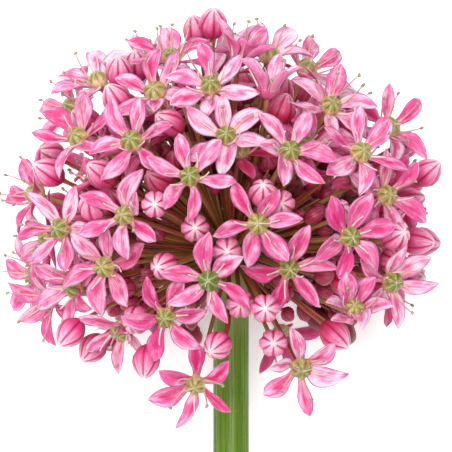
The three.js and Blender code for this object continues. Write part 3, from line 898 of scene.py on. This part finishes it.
def stalk_finish():
    """Fresh green stalk: soft light and dark streaks along it, a pale neck and a pale cut face."""
    skin = Finish("stalk", specular=0.25, flesh=(0.08, (0.4, 0.8, 0.2), 0.8),
                  others={"Coat Weight": 0.05, "Coat Roughness": 0.4})
    x, y, level = skin.parts(skin.direction("stem"))
    reach = skin.reach_of(x, y)
    rim_x, rim_y = x / skin.most(reach, 0.001), y / skin.most(reach, 0.001)
    fine = skin.noise(skin.point(rim_x * 5.0, rim_y * 5.0, level * 0.035), 2.2, 4.0, 0.6)
    broad = skin.noise(skin.point(rim_x * 1.8, rim_y * 1.8, level * 0.012), 1.5, 2.0)
    specks = skin.noise(skin.place(), 900.0, 3.0, 0.6)
    green = skin.mix(skin.rise(broad, 0.35, 0.65), paint(106, 138, 14), paint(86, 122, 0))
    colour = skin.layered(green, [
        (skin.rise(fine, 0.46, 0.68) * 0.85, (56, 90, 0)),
        (skin.rise(fine, 0.44, 0.26) * 0.5, (142, 166, 58)),
        (skin.rise(specks, 0.6, 0.75) * 0.2, (180, 196, 110)),
        (skin.rise(level, -24.0, -8.0) * 0.6, (196, 204, 132)),
        (skin.rise(level, -8.0, -3.0) * 0.8, (120, 92, 44)),
    ])
    tubes = skin.result("ShaderNodeTexVoronoi", {"feature": "F1"}, {
        "Vector": skin.point(x, y, 0.0), "Scale": 1.3, "Randomness": 0.8}, "Distance")
    tube_walls = skin.rise(tubes, 0.24, 0.1)
    pith = skin.mix(tube_walls, paint(222, 228, 184), paint(150, 172, 92))
    pith = skin.mix(skin.rise(reach, 2.6, 3.6), pith, paint(180, 200, 124))
    cut_face = skin.rise(reach, 3.95, 3.7) * skin.rise(level, -145.0, -149.0)
    skin.paint_with(skin.mix(cut_face, colour, pith), fine * 0.3 + 0.32)
    skin.bump(fine + broad * 0.5, 0.3, 0.2)
    return skin.material


# ---------------------------------------------------------------- growing pieces

def added(name, data):
    """An object with its data, in the scene."""
    thing = bpy.data.objects.new(name, data)
    bpy.context.scene.collection.objects.link(thing)
    return thing


def cloud(name, rows, spot):
    """Loose points to grow things on, one for each row, placed by one of its values and holding them all."""
    mesh = bpy.data.meshes.new(name)
    mesh.from_pydata([tuple(row[spot]) for row in rows], [], [])
    for key in rows[0]:
        values = np.asarray([row[key] for row in rows], dtype=np.float32)
        kind, field = ("FLOAT_VECTOR", "vector") if values.ndim == 2 else ("FLOAT", "value")
        mesh.attributes.new(key, kind, "POINT").data.foreach_set(field, values.ravel())
    return added(name, mesh)


class Growth(Sheet):
    """A Geometry Nodes tree with named inputs, which grows a plain mesh from an object's own one."""

    def __init__(self, name, seedbed, sizes):
        super().__init__(bpy.data.node_groups.new(name, "GeometryNodeTree"))
        self.seedbed = seedbed
        self.sizes = sizes
        face = self.tree.interface
        face.new_socket("Geometry", in_out="INPUT", socket_type="NodeSocketGeometry")
        face.new_socket("Geometry", in_out="OUTPUT", socket_type="NodeSocketGeometry")
        for key, value in sizes.items():
            kind = "NodeSocketInt" if isinstance(value, int) else "NodeSocketFloat"
            face.new_socket(key, in_out="INPUT", socket_type=kind)
        self.entry = self.node("NodeGroupInput")
        self.exit = self.node("NodeGroupOutput")
        self.body = self.given()

    def given(self, name="Geometry"):
        return self.out(self.entry, name)

    def value(self, name, kind="FLOAT"):
        """A value that the points hold."""
        return self.result("GeometryNodeInputNamedAttribute", {"data_type": kind}, {"Name": name})

    def direction(self, name):
        return self.value(name, "FLOAT_VECTOR")

    def position(self):
        return self.result("GeometryNodeInputPosition")

    def copy_form(self, form, name):
        """Puts a real copy of a form at each point, with the point's values and the form's own places."""
        settings = {"data_type": "FLOAT_VECTOR", "domain": "POINT"}
        kept = self.result("GeometryNodeStoreNamedAttribute", settings, {
            "Geometry": form, "Name": name, "Value": self.position()})
        copies = self.result("GeometryNodeInstanceOnPoints", {}, {"Points": self.given(), "Instance": kept})
        self.body = self.result("GeometryNodeRealizeInstances", {}, {"Geometry": copies})

    def tubes(self):
        """A closed tube at each point, to bend; returns where its own points are."""
        self.copy_form(self.result("GeometryNodeMeshCylinder", {"fill_type": "NGON"}, {
            "Vertices": self.given("Sides"), "Side Segments": self.given("Stations"),
            "Radius": 1.0, "Depth": 1.0}), "blade")
        return self.blade()

    def globes(self):
        """A closed globe at each point, to press into shape; returns where its own points are."""
        self.copy_form(self.result("GeometryNodeMeshUVSphere", {}, {
            "Segments": self.given("Segments"), "Rings": self.given("Rings"), "Radius": 1.0}), "shell")
        return self.parts(self.direction("shell"))

    def arc(self, first, curl, along):
        """A point of an arc that bends back from its first angle, with the ways across, above and ahead."""
        facing, outward, length = self.direction("facing"), self.direction("outward"), self.value("length")
        angle = first - curl * along
        out = (self.sine(first) - self.sine(angle)) * length / curl
        rise = (self.cosine(angle) - self.cosine(first)) * length / curl
        place = self.direction("start") + outward * out + facing * rise
        above = facing * self.cosine(angle) - outward * self.sine(angle)
        ahead = outward * self.cosine(angle) + facing * self.sine(angle)
        return place, self.cross(facing, outward), above, ahead

    def above_floor(self, place, up=0.0):
        """A place that is no lower than the surface that the flower lies on."""
        x, y, z = self.parts(place)
        return self.point(x, y, self.most(z, FLOOR_GAP * MM + up))

    def end(self, place, material):
        """The tree's last nodes: every point at its place, smooth and painted."""
        moved = self.result("GeometryNodeSetPosition", {}, {"Geometry": self.body, "Position": place})
        smooth = self.result("GeometryNodeSetShadeSmooth", {}, {"Geometry": moved, "Shade Smooth": True})
        painted = self.result("GeometryNodeSetMaterial", {}, {"Geometry": smooth, "Material": material})
        self.feed(self.exit.inputs["Geometry"], painted)

    def grow(self, name, place, material):
        """The plain mesh that the ended tree grows, as a piece of its own in place of the seedbed."""
        self.end(place, material)
        modifier = self.seedbed.modifiers.new("growth", "NODES")
        modifier.node_group = self.tree
        for item in self.tree.interface.items_tree:
            if item.item_type == "SOCKET" and item.in_out == "INPUT" and item.name in self.sizes:
                modifier[item.identifier] = self.sizes[item.name]
        graph = bpy.context.evaluated_depsgraph_get()
        mesh = bpy.data.meshes.new_from_object(
            self.seedbed.evaluated_get(graph), preserve_all_data_layers=True, depsgraph=graph)
        bpy.data.objects.remove(self.seedbed)
        mesh.name = name
        return added(name, mesh)


def joined(name, pieces):
    """Several pieces as one mesh."""
    bpy.ops.object.select_all(action="DESELECT")
    for piece in pieces:
        piece.select_set(True)
    bpy.context.view_layer.objects.active = pieces[0]
    bpy.ops.object.join()
    pieces[0].name = name
    return pieces[0]


def bent_row(start, outward, facing, **values):
    """The values of one petal or thread, which starts at a point and bends from one direction to another."""
    return dict(start=laid(start), outward=laid_direction(outward), facing=laid_direction(facing), **values)


def petal_rows():
    """One row of values for each petal, over the bend of its solid blade."""
    rows = []
    for floret in open_florets:
        # Painted light: florets high on the umbel get paler petals, as if lit from above.
        top_light_share = min(1.0, max(0.0, (floret["at"][1] - CROWN_LEVEL) / CROWN_RISE))
        floret_tone_and_top_light = FLORET_TONE * chance(floret["index"], USES["tone"]) - TOP_LIGHT_PALENESS * top_light_share
        for tepal, (lift, length) in enumerate(floret["bends"]):
            outward = outward_of(floret, tepal)
            root = floret["at"] + outward * TEPAL_ROOT_OUT + floret["facing"] * TEPAL_ROOT_LEVEL
            luck = draws(floret["index"], USES["petal"] + USES_OF_TEPAL * tepal, 6)
            fullness = min(1.0, length / TEPAL_LENGTH + WIDTH_KEPT)
            rows.append(bent_row(
                root, outward, floret["facing"],
                length=length * PETAL_STRETCH * MM,
                lift=lift + PETAL_RAISE,
                sway=(luck[3] - 0.5) * PETAL_SWAY,
                curl=math.radians(LEAST_CURL + CURL_WANDER * luck[0] ** 1.5),
                twist=(luck[1] - 0.5) * PETAL_TWIST,
                half_width=PETAL_HALF_WIDTH * fullness * (LEAST_WIDTH + WIDTH_WANDER * luck[2]) * MM,
                widest=LEAST_WIDEST + WIDEST_WANDER * luck[5],
                wave=(luck[3] - 0.5) * PETAL_WAVE,
                cup=LEAST_CUP + CUP_WANDER * luck[0],
                drift=luck[4],
                tone=floret_tone_and_top_light + PETAL_TONE * luck[5],
            ))
    return rows


def grow_tepals():
    """All petals: flattened tubes, bent from the root to the tip of each solid blade."""
    growth = Growth("petals", cloud("tepal_points", petal_rows(), "start"), {
        "Sides": 8, "Stations": 8, "Thickness": 0.36 * MM, "Keel": 0.12})
    across, side, along = growth.tubes()
    curl = growth.value("curl")
    place, breadth, normal, _ = growth.arc(growth.value("lift") + curl * 0.5, curl, along)
    turn = growth.value("twist") * along
    spread = breadth * growth.cosine(turn) + normal * growth.sine(turn)
    above = normal * growth.cosine(turn) - breadth * growth.sine(turn)
    outline = growth.curve(along ** growth.value("widest"), [
        (0.0, 0.4), (0.1, 0.46), (0.3, 0.8), (0.5, 1.0), (0.72, 0.87), (0.89, 0.52), (0.97, 0.24),
        (1.0, 0.06)])
    half_width = growth.value("half_width") * outline
    body = growth.given("Thickness") * growth.curve(along, [(0.0, 1.0), (0.6, 0.8), (1.0, 0.12)]) * 0.5
    cup = growth.value("cup") * across * across - growth.given("Keel") * growth.rise(abs(across), 0.6, 0.0)
    ripple = growth.value("wave") * growth.sine(along * 7.0 + growth.value("drift") * 6.0) * across
    height = half_width * (cup + ripple * growth.rise(along, 0.1, 0.5)) + body * side
    place = place + breadth * (growth.value("sway") * along * along * along * growth.value("length"))
    place = place + spread * (half_width * across) + above * height
    return growth.grow("tepals", growth.above_floor(place, (side + 1.0) * PRESSED_PETAL * MM), tepal_finish())


def youth_of(floret):
    """How unripe a bud or an ovary is, from 0 to 1, which dulls or reddens it."""
    if floret["kind"] == "small":
        return SMALL_YOUTH if floret["at"][2] > 0 else 1.0
    return 1.0 if floret["kind"] == "cup" else 0.0


def shell_rows(members, radius, half_length, wander):
    """One row of values for each bud or ovary."""
    rows = []
    for floret in members:
        luck = draws(floret["index"], USES["shell"], 3)
        share = floret.get("share", 1)
        rows.append(dict(
            middle=laid(floret["at"]),
            facing=laid_direction(floret["facing"]),
            first=laid_direction(floret["first"]),
            radius=radius * (1 + (luck[0] - 0.5) * wander) * share * MM,
            half_length=half_length * share * MM,
            young=youth_of(floret),
            ripe=1.0 if floret.get("pixel") == RIPE_PIXEL else 0.0,
            drift=luck[1],
            tone=luck[2],
        ))
    return rows


def shell_place(growth, radius, level):
    """A point of a bud or an ovary, from its radius and level, both as shares of the sizes."""
    x, y, _ = growth.parts(growth.direction("shell"))
    flat = growth.most(growth.reach_of(x, y), 0.0001)
    facing, first = growth.direction("facing"), growth.direction("first")
    sideways = first * (x / flat) + growth.cross(facing, first) * (y / flat)
    size = growth.value("radius") * radius
    place = growth.direction("middle") + sideways * size + facing * (growth.value("half_length") * level)
    return growth.above_floor(place)


def grow_buds():
    """All closed buds, the small ones plainer: globes drawn out to a tip and pleated along six seams."""
    material = bud_finish()
    pieces = []
    for name, members, segments, rings, depth in (
            ("full buds", buds, 24, 9, 0.16), ("small buds", small_buds, 12, 7, 0.04)):
        rows = shell_rows(members, BUD_RADIUS * BUD_PLUMPNESS, BUD_LENGTH / 2, wander=0.1)
        growth = Growth(name, cloud("bud_points", rows, "middle"), {
            "Segments": segments, "Rings": rings, "Pleat depth": depth})
        x, y, level = growth.globes()
        turn = growth.turn_of(x, y)
        seam = abs(growth.cosine(turn * 3.0)) ** 0.6
        keel = growth.rise(abs(growth.sine(turn * 3.0)), 0.0, 0.4)
        pleat = (1.0 - seam) + (1.0 - keel) * 0.22
        radius = growth.reach_of(x, y) * growth.curve(level * 0.5 + 0.5, [
            (0.0, 0.8), (0.25, 0.93), (0.5, 1.0), (0.75, 0.9), (0.92, 0.78), (1.0, 0.72)])
        radius = radius * (1.0 - growth.given("Pleat depth") * pleat * growth.rise(level, -1.0, -0.2))
        tip = level + growth.rise(level, 0.8, 1.0) * 0.03
        pieces.append(growth.grow(name, shell_place(growth, radius, tip), material))
    return joined("buds", pieces)


def grow_ovaries():
    """All ovaries: round, three-lobed, ribbed and dented where the style stands."""
    rows = shell_rows(open_florets, OVARY_RADIUS + OVARY_WIDER, OVARY_RADIUS + OVARY_HIGHER, wander=0.12)
    growth = Growth("ribbed ovaries", cloud("ovary_points", rows, "middle"), {
        "Segments": 24, "Rings": 10, "Furrow": 0.16, "Lobe": 0.05, "Dent": 0.14})
    x, y, level = growth.globes()
    turn, flat = growth.turn_of(x, y), growth.reach_of(x, y)
    furrow = (1.0 - abs(growth.cosine(turn * 3.0)) ** 0.7) * growth.given("Furrow")
    lobe = growth.cosine(turn * 3.0) * growth.given("Lobe")
    dent = growth.rise(flat, 0.4, 0.0) * growth.given("Dent")
    place = shell_place(growth, flat * (1.0 - furrow + lobe), level - dent * growth.rise(level, 0.0, 1.0))
    return growth.grow("ovaries", place, ovary_finish())


def thread_rows():
    """One row of values for each stamen and style: six stamens and a style for each open floret."""
    rows = []
    for floret in open_florets:
        at, facing = floret["at"], floret["facing"]
        withered_share = LEAST_WITHERED + MORE_WITHERED * max(0.0, float(unit(at)[2]))
        for tepal, (lift, _) in enumerate(floret["bends"]):
            luck = draws(floret["index"], USES["stamen"] + USES_OF_TEPAL * tepal, 6)
            withered = luck[0] < withered_share
            rule = WITHERED_THREAD if withered else FRESH_THREAD
            outward = outward_of(floret, tepal)
            rows.append(bent_row(
                at + outward * THREAD_ROOT_OUT + facing * THREAD_ROOT_LEVEL, outward, facing,
                heading=(math.radians(THREAD_HEADING + THREAD_HEADING_WANDER * luck[1])
                         + max(0.0, lift - OPEN_LIFT) * PETAL_FOLLOWED),
                curl=math.radians(rule["bend"] + rule["bend_wander"] * luck[2]),
                lean=(luck[3] - 0.5) * rule["lean"],
                length=(rule["length"] + LENGTH_SPREAD * luck[4]) * MM,
                thickness=THREAD_RADIUS * MM,
                anther=0.0 if withered else 1.0,
                dry=1.0 if withered else 0.0,
                drift=luck[5],
            ))
        luck = draws(floret["index"], USES["style"], 4)
        rows.append(bent_row(
            at + facing * (OVARY_RADIUS * STYLE_FOOT), outward_of(floret, TEPAL_COUNT * luck[0]), facing,
            heading=math.radians(STYLE_HEADING + STYLE_HEADING_WANDER * luck[1]),
            curl=math.radians(STYLE_BEND + STYLE_BEND_WANDER * luck[2]),
            lean=STYLE_LEAN,
            length=(STYLE_LENGTH + STYLE_SPREAD * luck[3]) * MM,
            thickness=STYLE_RADIUS * MM,
            anther=0.0,
            dry=1.0,
            drift=luck[1],
        ))
    return rows


def thread_bend(growth, along):
    """A point of a thread and the three directions there."""
    place, sideways, above, ahead = growth.arc(growth.value("heading"), growth.value("curl"), along)
    drift = growth.value("lean") * along * along * growth.value("length") * 0.5
    return place + sideways * drift, sideways, above, ahead


def grow_threads(rows, material):
    """The stamens' threads and the styles: tubes that taper from a broader foot."""
    plain = [dict(row, anther=0.0) for row in rows]
    growth = Growth("threads", cloud("thread_points", plain, "start"), {
        "Sides": 5, "Stations": 6, "Taper": 0.48})
    across, side, along = growth.tubes()
    place, sideways, above, _ = thread_bend(growth, along)
    thickness = growth.value("thickness") * (1.0 - growth.given("Taper") * along)
    broad = 1.0 + growth.rise(along, 0.3, 0.0) * 1.2
    place = place + sideways * (across * thickness * broad) + above * (side * thickness)
    return growth.grow("threads", growth.above_floor(place, (side + 1.0) * PRESSED_THREAD * MM), material)


def grow_anthers(rows, material):
    """The anthers: long beads that swing on the threads' tips."""
    bearing = [row for row in rows if row["anther"]]
    growth = Growth("anthers", cloud("anther_points", bearing, "start"), {
        "Segments": 6, "Rings": 4, "Long": 0.62 * MM, "Wide": 0.4 * MM})
    across, side, level = growth.globes()
    place, sideways, above, ahead = thread_bend(growth, 1.0)
    swing = growth.value("drift") * 6.0
    long_way = sideways * growth.cosine(swing) + ahead * growth.sine(swing)
    wide_way = growth.cross(long_way, above)
    place = place + long_way * (level * growth.given("Long"))
    place = place + wide_way * (across * growth.given("Wide")) + above * (side * growth.given("Wide"))
    return growth.grow("anthers", growth.above_floor(place, (side + 1.0) * PRESSED_THREAD * MM), material)


def grow_stamens():
    """All stamens and styles; those that aren't withered have an anther."""
    rows, material = thread_rows(), stamen_finish()
    return joined("stamens", [grow_threads(rows, material), grow_anthers(rows, material)])


def pedicel_rows():
    """One row of values for each pedicel: the four points of its curve, its thickness and its colours."""
    rows = []
    for floret in florets + small_buds:
        at, facing, root = floret["at"], floret["facing"], floret["root"]
        small = floret["kind"] == "small"
        luck = draws(floret["index"], USES["pedicel"], 4)
        base = at - facing * (SMALL_PEDICEL_SINK if small else PEDICEL_SINK[floret["kind"]])
        knee = base - unit(facing + unit(at)) * (SMALL_PEDICEL_BEND if small else PEDICEL_BEND)
        reference = unit(np.cross(vector(root[1], root[2], root[0]), root))
        sway = np.cross(unit(knee), reference) * (luck[0] - 0.5) * PEDICEL_SWAY
        share = SMALL_PEDICEL_SHARE if small else LEAST_PEDICEL_SHARE + PEDICEL_WANDER * luck[1]
        rows.append(dict(
            start=laid(root * PEDICEL_START),
            second=laid(root + (knee - root) * STRAIGHT_SHARE + sway),
            third=laid(knee),
            end=laid(base),
            reference=laid_direction(reference),
            thickness=PEDICEL_RADIUS * share * MM,
            drift=luck[2],
            tone=luck[3],
        ))
    return rows


def grow_pedicels():
    """All pedicels: straight from the receptacle, bent to the floret and swollen just below it."""
    growth = Growth("pedicels", cloud("pedicel_points", pedicel_rows(), "start"), {
        "Sides": 7, "Stations": 12, "Swelling": 0.75})
    across, side, along = growth.tubes()
    left = 1.0 - along
    start, second, third, end = [growth.direction(name) for name in ("start", "second", "third", "end")]
    place = start * (left * left * left) + second * (left * left * along * 3.0)
    place = place + third * (left * along * along * 3.0) + end * (along * along * along)
    way = (second - start) * (left * left) + (third - second) * (left * along * 2.0)
    way = growth.unit(way + (end - third) * (along * along))
    sideways = growth.unit(growth.cross(growth.direction("reference"), way))
    swelling = 1.0 + growth.rise(along, 0.9, 1.0) * growth.given("Swelling")
    thickness = growth.value("thickness") * swelling
    place = place + sideways * (across * thickness) + growth.cross(way, sideways) * (side * thickness)
    return growth.grow("pedicels", place, pedicel_finish())


def stalk_profile():
    """The stalk's turned outline as radii and levels, from the dished cut face up over the receptacle."""
    cut, edge = -STALK_LENGTH, -STALK_LENGTH + CUT_EDGE
    face = [(radius, cut + depth) for radius, depth in CUT_DISH]
    rim = [(CUT_END_RADIUS - CUT_EDGE, cut), (CUT_END_RADIUS, edge)]
    stem = [(CUT_END_RADIUS + (STALK_RADIUS - CUT_END_RADIUS) * min(1, ring / TAPER_RINGS),
             cut + 1 + RING_STEP * ring) for ring in range(1, RING_COUNT + 1)]
    head = [(RECEPTACLE_RADIUS * math.sin(turn), RECEPTACLE_RADIUS * math.cos(turn))
            for turn in RECEPTACLE_TURNS]
    return face + rim + stem + NECK + head


def turned(profile, bottom, top):
    """The corners and faces of a closed body turned round the stalk's axis, from pole to pole."""
    corners = [(0, bottom, 0)]
    for radius, level in profile:
        for side in range(STALK_SIDES):
            turn = side * math.tau / STALK_SIDES
            corners.append((radius * math.sin(turn), level, radius * math.cos(turn)))
    corners.append((0, top, 0))
    last, pole = 1 + (len(profile) - 1) * STALK_SIDES, len(corners) - 1
    nexts = [(side, (side + 1) % STALK_SIDES) for side in range(STALK_SIDES)]
    faces = [(0, 1 + following, 1 + side) for side, following in nexts]
    for near in range(1, last, STALK_SIDES):
        far = near + STALK_SIDES
        faces += [(near + side, near + following, far + following, far + side) for side, following in nexts]
    faces += [(last + side, last + following, pole) for side, following in nexts]
    return corners, faces


def grow_stalk():
    """The stalk with its receptacle: a turned body, ribbed along its length."""
    corners, faces = turned(stalk_profile(), -STALK_LENGTH + CUT_EDGE, RECEPTACLE_RADIUS)
    mesh = bpy.data.meshes.new("stalk_profile")
    mesh.from_pydata([tuple(point) for point in laid(np.array(corners, dtype=float))], [], faces)
    stem = mesh.attributes.new("stem", "FLOAT_VECTOR", "POINT")
    stem.data.foreach_set("vector", np.array([(x, z, y) for x, y, z in corners], dtype=np.float32).ravel())
    growth = Growth("ribbed stalk", added("stalk_profile", mesh), {
        "Ribs": 18, "Rib height": 0.07 * MM, "Unevenness": 0.1 * MM})
    x, y, level = growth.parts(growth.direction("stem"))
    turn = growth.turn_of(x, y)
    ribs = growth.cosine(turn * growth.given("Ribs")) * growth.given("Rib height")
    slow = growth.sine(turn * 2.0 + level * 0.05) * growth.given("Unevenness") * 0.5
    free = growth.rise(growth.reach_of(x, y), 3.6, 4.1)
    free = free * growth.rise(level, -149.0, -146.0) * growth.rise(level, -4.0, -9.0)
    normal = growth.result("GeometryNodeInputNormal")
    return growth.grow("stalk", growth.position() + normal * ((ribs + slow) * free), stalk_finish())


# ---------------------------------------------------------------- pieces on the frame

def ride_and_replace(piece, nodes):
    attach(piece, "root")
    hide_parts(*nodes)


ride_and_replace(grow_stalk(), ["scape"])
ride_and_replace(grow_pedicels(), SPRAY_NAMES)
ride_and_replace(grow_buds(), SPRAY_NAMES)
ride_and_replace(grow_ovaries(), SPRAY_NAMES)
ride_and_replace(grow_tepals(), SPRAY_NAMES)
ride_and_replace(grow_stamens(), SPRAY_NAMES)


# ---------------------------------------------------------------- floor, light and camera

def lay_floor():
    """White paper that glows a little, so that it stays white under the flower."""
    mesh = bpy.data.meshes.new("floor")
    mesh.from_pydata([(-3, -3, 0), (3, -3, 0), (3, 3, 0), (-3, 3, 0)], [], [(0, 1, 2, 3)])
    floor = added("floor", mesh)
    paper = Finish("paper", specular=0.1, others={"Emission Color": WHITE, "Emission Strength": 0.3})
    fibre = paper.noise(paper.place(), 300.0)
    paper.paint_with(paper.mix(fibre * 0.3, (0.98, 0.98, 0.98, 1.0), (0.955, 0.955, 0.96, 1.0)), 0.9)
    mesh.materials.append(paper.material)


def looking(place, aim, up):
    """The placement of a camera or lamp that looks from a place to a point."""
    back = unit(place - aim)
    right = unit(np.cross(up, back))
    top = np.cross(back, right)
    rows = [[right[i], top[i], back[i], place[i]] for i in range(3)]
    return Matrix(rows + [[0, 0, 0, 1]])


def soft_lamp(name, place, aim, size, power):
    """A broad lamp at a place, turned towards a point, both in metres."""
    data = bpy.data.lights.new(name, "AREA")
    data.shape = "DISK"
    data.size = size
    data.energy = power
    added(name, data).matrix_world = looking(place, aim, vector(0, 1, 0.3))


def light_studio():
    """Two broad lamps and an even white surrounding."""
    middle = laid(vector(0, 0, 0))
    soft_lamp("key_light", middle + vector(-0.55, 0.75, 1.0), middle, size=1.1, power=8.5)
    soft_lamp("front_light", middle + vector(-0.15, -0.35, 1.9), middle, size=0.9, power=46.0)
    world = bpy.data.worlds.new("studio")
    world.use_nodes = True
    backdrop = world.node_tree.nodes["Background"]
    backdrop.inputs["Color"].default_value = WHITE
    backdrop.inputs["Strength"].default_value = 0.56
    bpy.context.scene.world = world
    bpy.context.scene.view_settings.view_transform = "Standard"


def set_camera(distance_away=1.6):
    """Looks square to the stalk at the photograph's middle, with the photograph's scale."""
    right = (MIDDLE_PIXEL[0] - UMBEL_PIXEL[0]) * MM_PER_PIXEL
    up = (UMBEL_PIXEL[1] - MIDDLE_PIXEL[1]) * MM_PER_PIXEL
    aim = laid(vector(right, up, 0))
    place = aim + laid_direction(vector(0, 0, 1)) * distance_away
    data = bpy.data.cameras.new("camera")
    data.sensor_width = 36.0
    data.lens = data.sensor_width * distance_away / (PHOTO_PIXELS * MM_PER_PIXEL * MM)
    data.clip_start, data.clip_end = 0.05, 20.0
    camera = added("camera", data)
    camera.matrix_world = looking(place, aim, laid_direction(vector(0, 1, 0)))
    bpy.context.scene.camera = camera


lay_floor()
light_studio()
set_camera()
